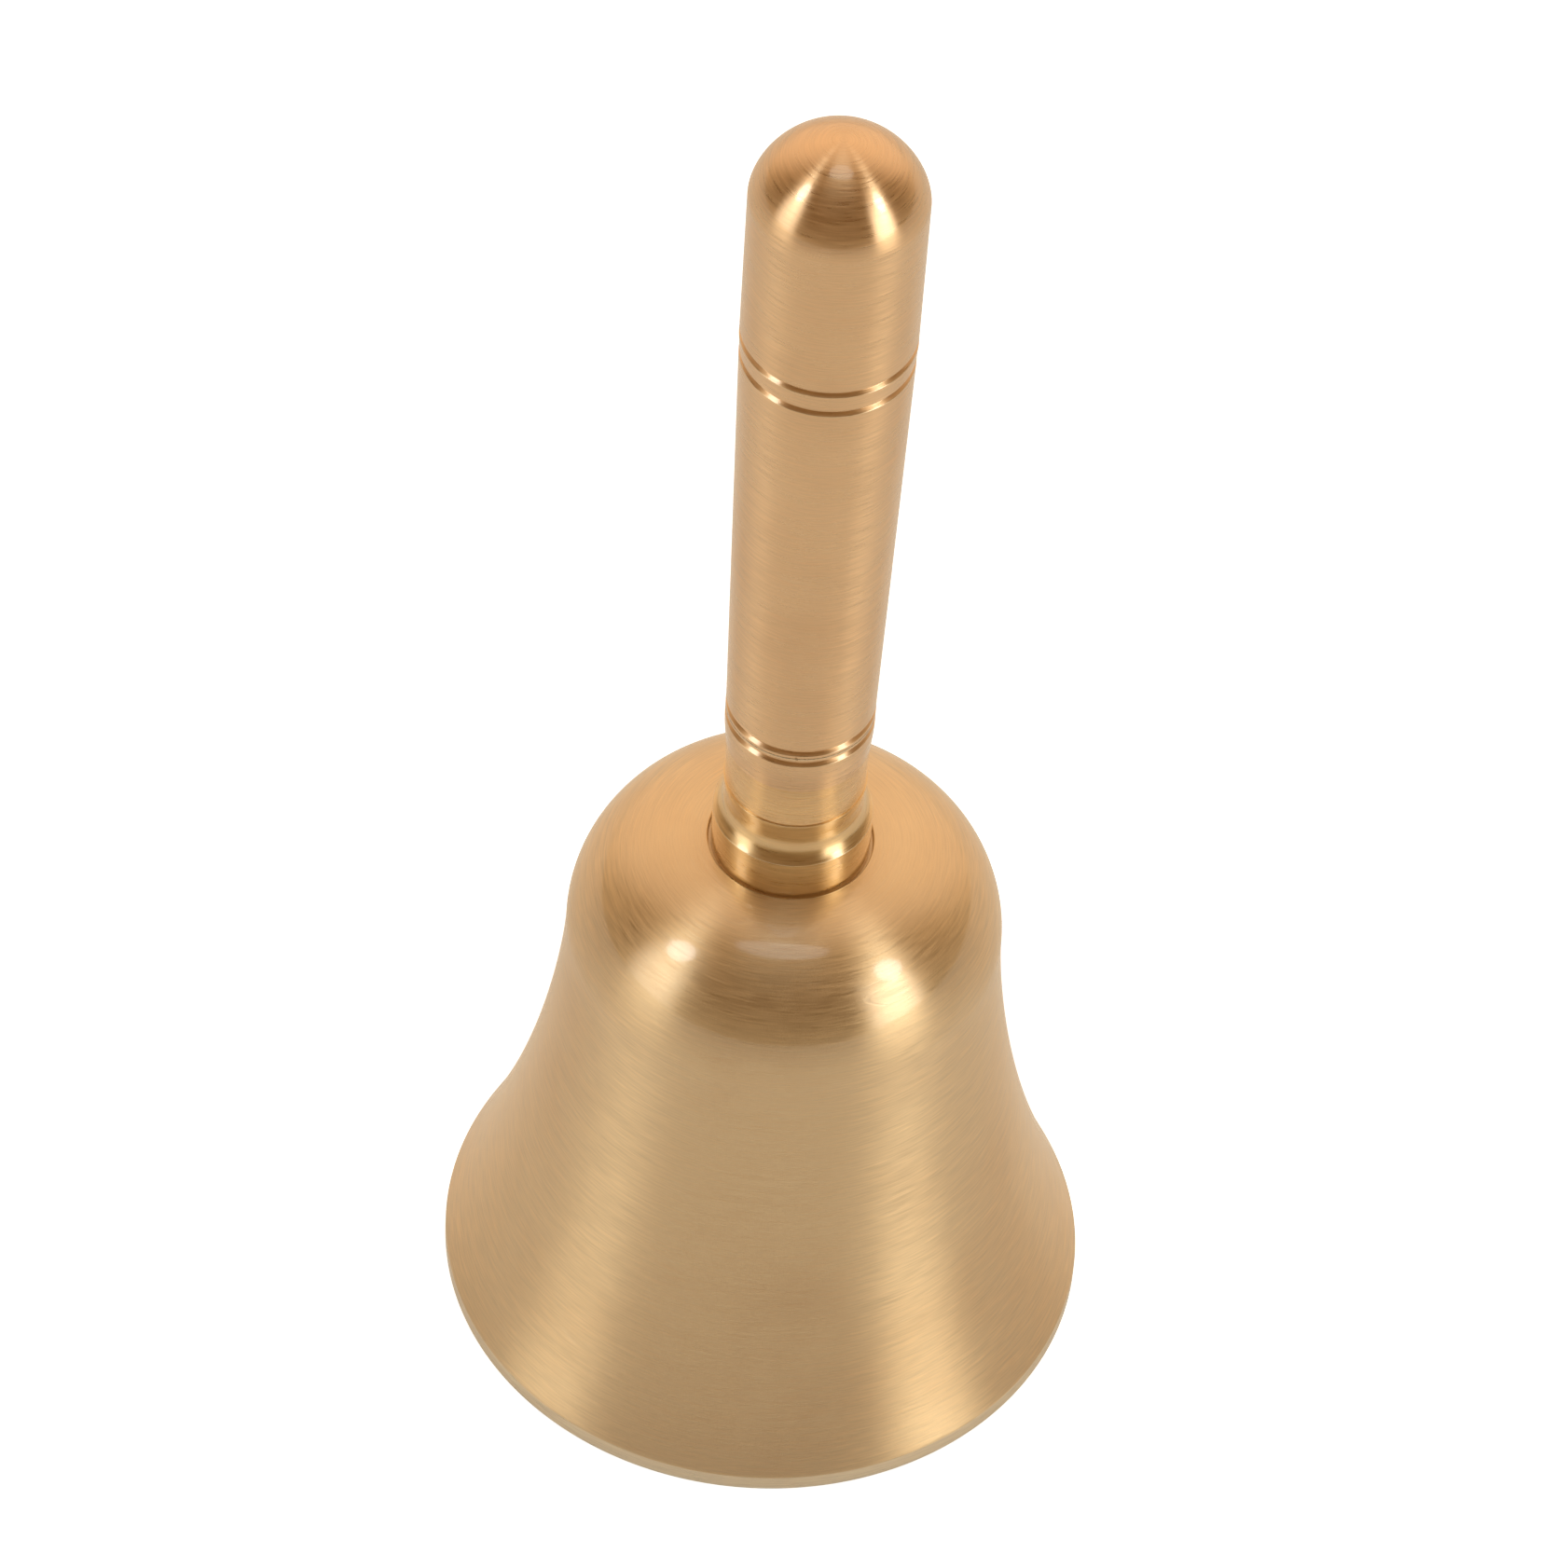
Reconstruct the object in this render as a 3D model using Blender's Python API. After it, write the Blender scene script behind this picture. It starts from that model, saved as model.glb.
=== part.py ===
"""A turned brass hand bell that stands on its lip.

Metres, +Z up. The origin is the centre of the lip's rest plane, and +Z is the axis that the bell, the
collar and the handle were turned on. The clapper hangs straight down inside, from a yoke that turns freely on
the stud, so it can swing towards any side of the bell.
"""

import math

import bmesh
import bpy
from mathutils import Matrix

MM = 0.001
CLEARANCE = 0.3 * MM

# Bell body: outer form
LIP_RADIUS = 25.0 * MM
LIP_BAND_HEIGHT = 1.6 * MM
LIP_ROUND = 0.45 * MM
SHOULDER_RADIUS = 16.66 * MM
SHOULDER_ROUND = 10.27 * MM
CROWN_HEIGHT = 48.95 * MM
SKIRT_UPPER_PULL = 3.3 * MM
SKIRT_LOWER_PULL = 17.7 * MM
SKIRT_FLARE = math.radians(24.1)

# Bell body: wall
WALL = 2.2 * MM
INNER_SKIRT_LOWER_PULL = 18.1 * MM

# Collar: a short cylinder below a hollow flare
COLLAR_RADIUS = 6.05 * MM
COLLAR_CYLINDER_TOP = 52.4 * MM
COLLAR_TOP = 56.15 * MM
COLLAR_TOP_RADIUS = 5.42 * MM
COLLAR_FLARE = math.radians(40.0)

# Handle
HANDLE_HEIGHT = 123.2 * MM
HEAD_RADIUS = 6.5 * MM
DOME_BASE = 117.3 * MM
DOME_EXPONENT = 1.68
HEAD_FOOT_RADIUS = 6.44 * MM
SHAFT_TOP_RADIUS = 6.38 * MM
SHAFT_FOOT_RADIUS = 5.61 * MM
NECK_RADIUS = 5.34 * MM
NECK_HEIGHT = 57.6 * MM
GROOVE_HEIGHTS = (104.0 * MM, 102.0 * MM, 64.6 * MM, 63.4 * MM)
GROOVE_HALF_WIDTH = 0.32 * MM
GROOVE_DEPTH = 0.28 * MM

# Stud that joins handle, collar and bell, and carries the yoke
STUD_RADIUS = 2.4 * MM
STUD_TOP = 71.0 * MM
STUD_CHAMFER = 0.5 * MM
STUD_HEAD_RADIUS = 3.0 * MM
STUD_HEAD_HEIGHT = 1.5 * MM
BORE_RADIUS = STUD_RADIUS + CLEARANCE
HANDLE_BORE_DEPTH = 15.4 * MM

# Fasteners under the crown
WASHER_RADIUS = 5.5 * MM
LOCK_WASHER_RADIUS = 4.6 * MM
WASHER_THICKNESS = 1.0 * MM
LOCK_WASHER_SPLIT = math.radians(14.0)
NUT_FLATS = 8.0 * MM
NUT_HEIGHT = 3.5 * MM

# Yoke, pin and clapper
YOKE_THICKNESS = 1.3 * MM
YOKE_HALF_GAP = 3.4 * MM
YOKE_HALF_WIDTH = 3.0 * MM
PIVOT_HEIGHT = 32.0 * MM
PIN_RADIUS = 1.0 * MM
PIN_HEAD_RADIUS = 1.7 * MM
PIN_HEAD_HEIGHT = 0.6 * MM
HUB_RADIUS = 2.3 * MM
HUB_HALF_LENGTH = 3.0 * MM
ROD_RADIUS = 1.2 * MM
ROD_FOOT = 6.4 * MM
BALL_RADIUS = 5.6 * MM
BALL_HEIGHT = 8.6 * MM
BALL_BORE_FOOT = 6.0 * MM
JAM_NUT_FLATS = 5.0 * MM
JAM_NUT_HEIGHT = 1.8 * MM

# Facets
SHELL_STEPS = 60
HANDLE_STEPS = 40
SMALL_STEPS = 28
SHARP_ANGLE = math.radians(35.0)

# The stack under the crown, from the crown's inner face down
CROWN_INNER = CROWN_HEIGHT - WALL
WASHER_TOP = CROWN_INNER - CLEARANCE
LOCK_WASHER_TOP = WASHER_TOP - WASHER_THICKNESS - CLEARANCE
NUT_TOP = LOCK_WASHER_TOP - WASHER_THICKNESS - CLEARANCE
YOKE_TOP = NUT_TOP - NUT_HEIGHT - CLEARANCE
STUD_HEAD_TOP = YOKE_TOP - YOKE_THICKNESS - CLEARANCE
STUD_FOOT = STUD_HEAD_TOP - STUD_HEAD_HEIGHT
COLLAR_FOOT = CROWN_HEIGHT + CLEARANCE
HANDLE_FOOT = COLLAR_TOP + CLEARANCE

SATIN_BRASS = ("satin_brass", (0.76, 0.55, 0.29), 0.30)
WARM_BRASS = ("warm_brass", (0.80, 0.55, 0.27), 0.28)
BRIGHT_BRASS = ("bright_brass", (0.83, 0.61, 0.30), 0.18)
PLATED_STEEL = ("plated_steel", (0.62, 0.62, 0.60), 0.34)


def clear_scene():
    """Removes every object that is in the scene."""
    for obj in list(bpy.data.objects):
        bpy.data.objects.remove(obj, do_unlink=True)


def metal(finish):
    """The Principled material of a (name, colour, roughness) finish, made once."""
    name, colour, roughness = finish
    found = bpy.data.materials.get(name)
    if found:
        return found
    material = bpy.data.materials.new(name)
    material.use_nodes = True
    shader = material.node_tree.nodes["Principled BSDF"]
    shader.inputs["Base Color"].default_value = (*colour, 1.0)
    shader.inputs["Metallic"].default_value = 1.0
    shader.inputs["Roughness"].default_value = roughness
    return material


def place(name, mesh, finish, location=(0.0, 0.0, 0.0), parent=None):
    """Links a mesh into the scene as a named sub-part. The location is in the parent's own frame."""
    mesh.materials.append(metal(finish))
    obj = bpy.data.objects.new(name, mesh)
    bpy.context.scene.collection.objects.link(obj)
    obj.parent = parent
    obj.location = location
    return obj


def axis_empty(name, location, parent=None):
    """An empty on a joint's axis. The pieces that move on the joint hang from it."""
    empty = bpy.data.objects.new(name, None)
    empty.empty_display_size = 5.0 * MM
    bpy.context.scene.collection.objects.link(empty)
    empty.parent = parent
    empty.location = location
    return empty


def cutter(name, mesh):
    """A helper for a Boolean, which is left out of the model."""
    obj = bpy.data.objects.new(name, mesh)
    bpy.context.scene.collection.objects.link(obj)
    obj.hide_render = True
    obj.display_type = "WIRE"
    return obj


def boolean(obj, operation, other, offset=(0.0, 0.0, 0.0)):
    """Adds an exact Boolean with a helper object, which follows the piece that it shapes."""
    other.parent = obj
    other.location = offset
    modifier = obj.modifiers.new(f"{operation.lower()} {other.name}", "BOOLEAN")
    modifier.operation = operation
    modifier.solver = "EXACT"
    modifier.object = other


def smooth(mesh):
    """Smooth shading, with the real corners kept sharp."""
    mesh.shade_smooth()
    mesh.set_sharp_from_angle(angle=SHARP_ANGLE)


def arc(centre, radius, start, end, steps):
    """Points (r, z) of an arc, from one angle to the other in degrees, both ends included."""
    angles = (math.radians(start + (end - start) * i / steps) for i in range(steps + 1))
    return [(centre[0] + radius * math.cos(a), centre[1] + radius * math.sin(a)) for a in angles]


def bezier(p0, p1, p2, p3, steps):
    """Points (r, z) of a cubic curve after its first point, its last point included."""
    points = []
    for i in range(1, steps + 1):
        t = i / steps
        weights = ((1 - t) ** 3, 3 * t * (1 - t) ** 2, 3 * t * t * (1 - t), t**3)
        points.append(tuple(sum(w * p[k] for w, p in zip(weights, (p0, p1, p2, p3))) for k in (0, 1)))
    return points


def groove(radius, height):
    """Points (r, z) of one turned groove with a flat bottom, top to bottom."""
    half = GROOVE_HALF_WIDTH
    floor = radius - GROOVE_DEPTH
    return [
        (radius, height + half),
        (floor, height + 0.35 * half),
        (floor, height - 0.35 * half),
        (radius, height - half),
    ]


def turned(name, outline, steps, finish, closed=False, location=(0.0, 0.0, 0.0), parent=None):
    """A solid of revolution about Z from an outline of (r, z) points.

    The outline runs down the outer side. An open outline starts and ends on the axis, and a closed one comes
    back up the bore to its first point, which makes a ring.
    """
    mesh = bpy.data.meshes.new(name)
    last = len(outline)
    edges = [(i, i + 1) for i in range(last - 1)]
    if closed:
        edges.append((last - 1, 0))
    mesh.from_pydata([(r, 0.0, z) for r, z in outline], edges, [])
    obj = place(name, mesh, finish, location, parent)
    screw = obj.modifiers.new("turn", "SCREW")
    screw.axis = "Z"
    screw.angle = 2.0 * math.pi
    screw.screw_offset = 0.0
    screw.steps = steps
    screw.render_steps = steps
    screw.use_merge_vertices = True
    screw.merge_threshold = 0.000001
    screw.use_smooth_shade = True
    return obj


def ring(name, bore, radius, top, thickness, finish):
    """A flat ring about the bell's axis, its upper face at the height given."""
    foot = top - thickness
    outline = [(radius, top), (radius, foot), (bore, foot), (bore, top)]
    return turned(name, outline, SMALL_STEPS, finish, closed=True)


def prism_mesh(name, sides, radius, depth, turn=0.0):
    """A closed prism or cylinder about Z, centred on its own origin."""
    mesh = bpy.data.meshes.new(name)
    bm = bmesh.new()
    bmesh.ops.create_cone(bm, cap_ends=True, segments=sides, radius1=radius, radius2=radius, depth=depth)
    bm.transform(Matrix.Rotation(turn, 4, "Z"))
    bm.to_mesh(mesh)
    bm.free()
    return mesh


def along_y(mesh):
    """Turns a mesh made about Z so that it lies along Y."""
    mesh.transform(Matrix.Rotation(math.radians(90.0), 4, "X"))
    return mesh


def extruded_mesh(name, outline, direction):
    """A closed prism: a flat outline of (x, y, z) points, pushed along a vector."""
    mesh = bpy.data.meshes.new(name)
    bm = bmesh.new()
    face = bm.faces.new([bm.verts.new(point) for point in outline])
    pushed = bmesh.ops.extrude_face_region(bm, geom=[face])
    moved = [item for item in pushed["geom"] if isinstance(item, bmesh.types.BMVert)]
    bmesh.ops.translate(bm, verts=moved, vec=direction)
    bmesh.ops.recalc_face_normals(bm, faces=bm.faces)
    bm.to_mesh(mesh)
    bm.free()
    return mesh


def skirt(top_radius, foot, lower_pull, steps):
    """The flared wall from the shoulder down to a point (r, z) near the lip, without its first point."""
    top = (top_radius, CROWN_HEIGHT - SHOULDER_ROUND)
    upper_handle = (top_radius, top[1] - SKIRT_UPPER_PULL)
    lower_handle = (
        foot[0] - lower_pull * math.sin(SKIRT_FLARE),
        foot[1] + lower_pull * math.cos(SKIRT_FLARE),
    )
    return bezier(top, upper_handle, lower_handle, foot, steps)


def make_bell_shell():
    """The bell: flat crown with a hole, round shoulder, flared skirt and a small upright band at the lip."""
    centre = (SHOULDER_RADIUS - SHOULDER_ROUND, CROWN_HEIGHT - SHOULDER_ROUND)
    lip_inner = LIP_RADIUS - WALL
    outline = [(BORE_RADIUS, CROWN_HEIGHT)]
    outline += arc(centre, SHOULDER_ROUND, 90.0, 0.0, 10)
    outline += skirt(SHOULDER_RADIUS, (LIP_RADIUS, LIP_BAND_HEIGHT), SKIRT_LOWER_PULL, 11)
    outline += arc((LIP_RADIUS - LIP_ROUND, LIP_ROUND), LIP_ROUND, 0.0, -90.0, 2)
    outline += arc((lip_inner + LIP_ROUND, LIP_ROUND), LIP_ROUND, -90.0, -180.0, 2)
    inner_wall = skirt(SHOULDER_RADIUS - WALL, (lip_inner, 2.0 * LIP_ROUND), INNER_SKIRT_LOWER_PULL, 8)
    outline += inner_wall[::-1]
    outline += arc(centre, SHOULDER_ROUND - WALL, 0.0, 90.0, 6)
    outline.append((BORE_RADIUS, CROWN_INNER))
    return turned("bell_shell", outline, SHELL_STEPS, SATIN_BRASS, closed=True)


def make_collar():
    """The collar between bell and handle: a hollow flare that ends in a crisp edge over a short cylinder."""
    top = (COLLAR_TOP_RADIUS, COLLAR_TOP)
    edge = (COLLAR_RADIUS, COLLAR_CYLINDER_TOP)
    height = COLLAR_TOP - COLLAR_CYLINDER_TOP
    pull = 0.32 * height
    lower = (edge[0] - pull * math.sin(COLLAR_FLARE), edge[1] + pull * math.cos(COLLAR_FLARE))
    outline = [top]
    outline += bezier(top, (top[0] + 0.02 * height, top[1] - 0.45 * height), lower, edge, 8)
    outline += [(COLLAR_RADIUS, COLLAR_FOOT), (BORE_RADIUS, COLLAR_FOOT), (BORE_RADIUS, COLLAR_TOP)]
    return turned("collar", outline, HANDLE_STEPS, BRIGHT_BRASS, closed=True)


def dome(steps):
    """Points (r, z) of the handle's rounded end: a superellipse quarter from the apex down to its base."""
    rise = HANDLE_HEIGHT - DOME_BASE
    power = 2.0 / DOME_EXPONENT
    points = [(0.0, HANDLE_HEIGHT)]
    for i in range(1, steps + 1):
        angle = 0.5 * math.pi * (1.0 - i / steps)
        across = HEAD_RADIUS * math.cos(angle) ** power
        points.append((across, DOME_BASE + rise * math.sin(angle) ** power))
    return points


def make_handle():
    """The solid turned handle, with two pairs of grooves and a blind hole in its foot for the stud."""
    upper, second, third, lowest = GROOVE_HEIGHTS
    outline = dome(12)
    outline += groove(HEAD_FOOT_RADIUS, upper)
    outline += groove(SHAFT_TOP_RADIUS, second)
    outline += groove(SHAFT_FOOT_RADIUS, third)
    outline += groove(SHAFT_FOOT_RADIUS, lowest)
    neck_top = outline[-1]
    drop = neck_top[1] - NECK_HEIGHT
    neck = (NECK_RADIUS, NECK_HEIGHT)
    outline += bezier(neck_top, (neck_top[0], neck_top[1] - 0.3 * drop), (neck[0], neck[1] + 0.5 * drop), neck, 5)
    outline += [(NECK_RADIUS, HANDLE_FOOT), (BORE_RADIUS, HANDLE_FOOT)]
    outline += [(BORE_RADIUS, HANDLE_FOOT + HANDLE_BORE_DEPTH), (0.0, HANDLE_FOOT + HANDLE_BORE_DEPTH)]
    return turned("handle", outline, HANDLE_STEPS, WARM_BRASS)


def make_stud():
    """The headed stud. Its upper end screws into the handle, and the yoke turns above its head."""
    outline = [
        (0.0, STUD_TOP),
        (STUD_RADIUS - STUD_CHAMFER, STUD_TOP),
        (STUD_RADIUS, STUD_TOP - STUD_CHAMFER),
        (STUD_RADIUS, STUD_HEAD_TOP),
        (STUD_HEAD_RADIUS, STUD_HEAD_TOP),
        (STUD_HEAD_RADIUS, STUD_FOOT + 0.4 * MM),
        (STUD_HEAD_RADIUS - 0.4 * MM, STUD_FOOT),
        (0.0, STUD_FOOT),
    ]
    return turned("suspension_stud", outline, SMALL_STEPS, PLATED_STEEL)


def make_lock_washer():
    """The split spring washer, pressed flat by the nut."""
    mesh = bpy.data.meshes.new("lock_washer")
    foot = LOCK_WASHER_TOP - WASHER_THICKNESS
    section = [
        (LOCK_WASHER_RADIUS, 0.0, LOCK_WASHER_TOP),
        (LOCK_WASHER_RADIUS, 0.0, foot),
        (BORE_RADIUS, 0.0, foot),
        (BORE_RADIUS, 0.0, LOCK_WASHER_TOP),
    ]
    bm = bmesh.new()
    face = bm.faces.new([bm.verts.new(point) for point in section])
    bmesh.ops.spin(
        bm,
        geom=[face],
        cent=(0.0, 0.0, 0.0),
        axis=(0.0, 0.0, 1.0),
        angle=2.0 * math.pi - LOCK_WASHER_SPLIT,
        steps=SMALL_STEPS,
    )
    bmesh.ops.recalc_face_normals(bm, faces=bm.faces)
    bm.to_mesh(mesh)
    bm.free()
    smooth(mesh)
    return place("lock_washer", mesh, PLATED_STEEL)


def hex_nut(name, flats, height, top, bore, parent=None, pivot=0.0):
    """A hexagonal nut about the bell's axis. Its upper face is at a world height, pivot is its parent's."""
    mesh = prism_mesh(name, 6, flats / math.sqrt(3.0), height, math.radians(30.0))
    smooth(mesh)
    nut = place(name, mesh, PLATED_STEEL, (0.0, 0.0, top - 0.5 * height - pivot), parent)
    hole = cutter(f"{name}_hole", prism_mesh(f"{name}_hole", SMALL_STEPS, bore, 3.0 * height))
    boolean(nut, "DIFFERENCE", hole)
    return nut


def yoke_strap_mesh():
    """The strap bent to an upside-down U, as its outline across Y pushed along X."""
    inner = YOKE_HALF_GAP
    outer = inner + YOKE_THICKNESS
    foot = PIVOT_HEIGHT - 2.0 * YOKE_HALF_WIDTH
    inner_top = YOKE_TOP - YOKE_THICKNESS
    bend = YOKE_THICKNESS
    side = [(outer, foot)]
    side += arc((outer - bend, YOKE_TOP - bend), bend, 0.0, 90.0, 5)
    opposite = [(-y, z) for y, z in reversed(side)]
    loop = side + opposite + [(-inner, foot), (-inner, inner_top), (inner, inner_top), (inner, foot)]
    outline = [(-YOKE_HALF_WIDTH - MM, y, z) for y, z in loop]
    return extruded_mesh("clapper_yoke", outline, (2.0 * (YOKE_HALF_WIDTH + MM), 0.0, 0.0))


def yoke_side_mesh():
    """The strap's shape seen along Y: straight sides with a round lower end about the pin."""
    round_end = arc((0.0, PIVOT_HEIGHT), YOKE_HALF_WIDTH, 180.0, 360.0, 12)
    loop = [(YOKE_HALF_WIDTH, YOKE_TOP + MM), (-YOKE_HALF_WIDTH, YOKE_TOP + MM)] + round_end
    reach = YOKE_HALF_GAP + YOKE_THICKNESS + MM
    return extruded_mesh("yoke_side", [(x, -reach, z) for x, z in loop], (0.0, 2.0 * reach, 0.0))


def make_yoke():
    """The yoke that turns on the stud, with a hole for the stud and one through both cheeks for the pin."""
    strap = yoke_strap_mesh()
    smooth(strap)
    yoke = place("clapper_yoke", strap, BRIGHT_BRASS)
    boolean(yoke, "INTERSECT", cutter("yoke_side", yoke_side_mesh()))
    pin_hole = along_y(prism_mesh("yoke_pin_hole", SMALL_STEPS, PIN_RADIUS + CLEARANCE, 20.0 * MM))
    boolean(yoke, "DIFFERENCE", cutter("yoke_pin_hole", pin_hole), (0.0, 0.0, PIVOT_HEIGHT))
    stud_hole = prism_mesh("yoke_stud_hole", SMALL_STEPS, BORE_RADIUS, 4.0 * YOKE_THICKNESS)
    boolean(yoke, "DIFFERENCE", cutter("yoke_stud_hole", stud_hole), (0.0, 0.0, YOKE_TOP))
    return yoke


def make_pin():
    """The pin across the yoke's cheeks, headed at both ends. It lies on the clapper's hinge axis."""
    head_inner = YOKE_HALF_GAP + YOKE_THICKNESS + CLEARANCE
    head_outer = head_inner + PIN_HEAD_HEIGHT
    upper = [(0.0, head_outer), (PIN_HEAD_RADIUS, head_outer), (PIN_HEAD_RADIUS, head_inner), (PIN_RADIUS, head_inner)]
    outline = upper + [(r, -z) for r, z in reversed(upper)]
    pin = turned("clapper_pin", outline, 24, PLATED_STEEL, location=(0.0, 0.0, PIVOT_HEIGHT))
    pin.rotation_euler = (math.radians(90.0), 0.0, 0.0)
    return pin


def make_clapper_rod(hinge):
    """The clapper's rod, with a cross hub that turns on the pin."""
    hub = along_y(prism_mesh("clapper_rod", SMALL_STEPS, HUB_RADIUS, 2.0 * HUB_HALF_LENGTH))
    smooth(hub)
    rod = place("clapper_rod", hub, BRIGHT_BRASS, parent=hinge)
    length = PIVOT_HEIGHT - ROD_FOOT
    shank = cutter("rod_shank", prism_mesh("rod_shank", 24, ROD_RADIUS, length))
    boolean(rod, "UNION", shank, (0.0, 0.0, -0.5 * length))
    hole = along_y(prism_mesh("rod_pin_hole", SMALL_STEPS, PIN_RADIUS + CLEARANCE, 10.0 * MM))
    boolean(rod, "DIFFERENCE", cutter("rod_pin_hole", hole))
    return rod


def make_clapper_ball(hinge):
    """The striking ball, with a blind hole in its top for the rod."""
    bore = ROD_RADIUS + CLEARANCE
    hole_edge = math.degrees(math.acos(bore / BALL_RADIUS))
    centre = (0.0, BALL_HEIGHT - PIVOT_HEIGHT)
    outline = [(0.0, BALL_BORE_FOOT - PIVOT_HEIGHT), (bore, BALL_BORE_FOOT - PIVOT_HEIGHT)]
    outline += arc(centre, BALL_RADIUS, hole_edge, -90.0, 14)
    outline[-1] = (0.0, outline[-1][1])
    return turned("clapper_ball", outline, SMALL_STEPS, BRIGHT_BRASS, parent=hinge)


def make_clapper():
    """Everything that swings, hung from an empty on the pin's axis."""
    hinge = axis_empty("clapper_axis", (0.0, 0.0, PIVOT_HEIGHT))
    make_clapper_rod(hinge)
    make_clapper_ball(hinge)
    bore = ROD_RADIUS + CLEARANCE
    ball_top = BALL_HEIGHT + math.sqrt(BALL_RADIUS**2 - bore**2)
    nut_top = ball_top + CLEARANCE + JAM_NUT_HEIGHT
    hex_nut("ball_jam_nut", JAM_NUT_FLATS, JAM_NUT_HEIGHT, nut_top, bore, hinge, PIVOT_HEIGHT)


def main():
    clear_scene()
    make_bell_shell()
    make_collar()
    make_handle()
    make_stud()
    ring("crown_washer", BORE_RADIUS, WASHER_RADIUS, WASHER_TOP, WASHER_THICKNESS, PLATED_STEEL)
    make_lock_washer()
    hex_nut("crown_nut", NUT_FLATS, NUT_HEIGHT, NUT_TOP, BORE_RADIUS)
    make_yoke()
    make_pin()
    make_clapper()


main()
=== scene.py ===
"""The looks of a turned brass hand bell, each piece in its own metal, with floor, light and camera.

Metres, +Z up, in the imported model's own frame: the origin is the centre of the lip's rest plane, and +Z is
the axis that the bell, the collar and the handle were turned on.
"""

import logging
import math
from collections.abc import Sequence
from dataclasses import dataclass, field
from enum import Enum

import bpy
import numpy as np
from bpy.types import ID, Material, Mesh, Node, NodeSocket, NodeTree, Object, World
from mathutils import Matrix, Vector


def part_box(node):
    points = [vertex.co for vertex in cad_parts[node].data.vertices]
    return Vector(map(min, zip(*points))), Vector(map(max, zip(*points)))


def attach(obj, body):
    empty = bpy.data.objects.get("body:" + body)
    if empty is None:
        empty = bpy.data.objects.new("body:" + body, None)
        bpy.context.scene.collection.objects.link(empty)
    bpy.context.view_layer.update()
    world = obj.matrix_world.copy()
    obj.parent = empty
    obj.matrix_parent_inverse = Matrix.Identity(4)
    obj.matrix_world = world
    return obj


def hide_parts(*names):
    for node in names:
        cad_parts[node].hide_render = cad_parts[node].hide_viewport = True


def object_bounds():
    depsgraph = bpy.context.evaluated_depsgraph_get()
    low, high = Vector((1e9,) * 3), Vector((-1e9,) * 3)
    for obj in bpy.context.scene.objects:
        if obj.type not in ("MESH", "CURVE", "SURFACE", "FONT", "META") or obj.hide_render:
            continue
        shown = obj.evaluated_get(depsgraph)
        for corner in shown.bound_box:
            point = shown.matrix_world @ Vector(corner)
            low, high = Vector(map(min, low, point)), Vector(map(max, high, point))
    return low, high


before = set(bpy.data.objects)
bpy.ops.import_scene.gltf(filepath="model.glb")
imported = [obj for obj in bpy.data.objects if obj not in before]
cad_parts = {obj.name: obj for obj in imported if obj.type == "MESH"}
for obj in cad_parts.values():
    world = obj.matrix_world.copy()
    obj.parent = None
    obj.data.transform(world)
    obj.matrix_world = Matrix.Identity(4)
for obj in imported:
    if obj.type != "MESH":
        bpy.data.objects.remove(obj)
CAD_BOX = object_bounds()

LOG = logging.getLogger("hand_bell")
MM = 0.001
DEGREE = math.pi / 180.0

Point = tuple[float, float]
Corner = tuple[float, float, float]
Colour = tuple[float, float, float]

# How far a piece reaches into its neighbour where the two are screwed or pressed tight.
BITE = 0.02 * MM
# An edge as sharp as this radius counts as fully bent for the wear and the painted highlight on it.
EDGE_RADIUS = 0.2 * MM
# Two faces that meet at more than this angle keep a hard edge between them.
CREASE = 32.0 * DEGREE


# --- Outlines -----------------------------------------------------------------------------------------------


def arc(centre: Point, radius: float, start: float, end: float, steps: int) -> np.ndarray:
    """Points of a circle's arc: the centre plus the radius times the cosine and sine of even angles.

    Args:
        centre: The circle's (r, z) centre.
        radius: Its radius.
        start: First angle in degrees, from +r towards +z.
        end: Last angle in degrees.
        steps: How many chords the arc has.

    Returns:
        The points (r, z), both ends included.
    """
    angle = np.linspace(start, end, steps + 1) * DEGREE
    return np.stack([centre[0] + radius * np.cos(angle), centre[1] + radius * np.sin(angle)], axis=1)


def bezier(p0: Point, p1: Point, p2: Point, p3: Point, steps: int) -> np.ndarray:
    """Points of a cubic curve: its four points weighted by the cubic Bernstein polynomials of 0 to 1.

    Args:
        p0: First point (r, z).
        p1: First handle.
        p2: Second handle.
        p3: Last point.
        steps: How many chords the curve has.

    Returns:
        The points (r, z), both ends included.
    """
    t = np.linspace(0.0, 1.0, steps + 1)[:, None]
    weights = np.hstack([(1 - t) ** 3, 3 * t * (1 - t) ** 2, 3 * t * t * (1 - t), t**3])
    return weights @ np.array([p0, p1, p2, p3])


def straight(start: Point, end: Point, steps: int) -> np.ndarray:
    """Points at even steps of the straight line between two points, both ends included."""
    t = np.linspace(0.0, 1.0, steps + 1)[:, None]
    return (1.0 - t) * np.array(start) + t * np.array(end)


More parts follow.
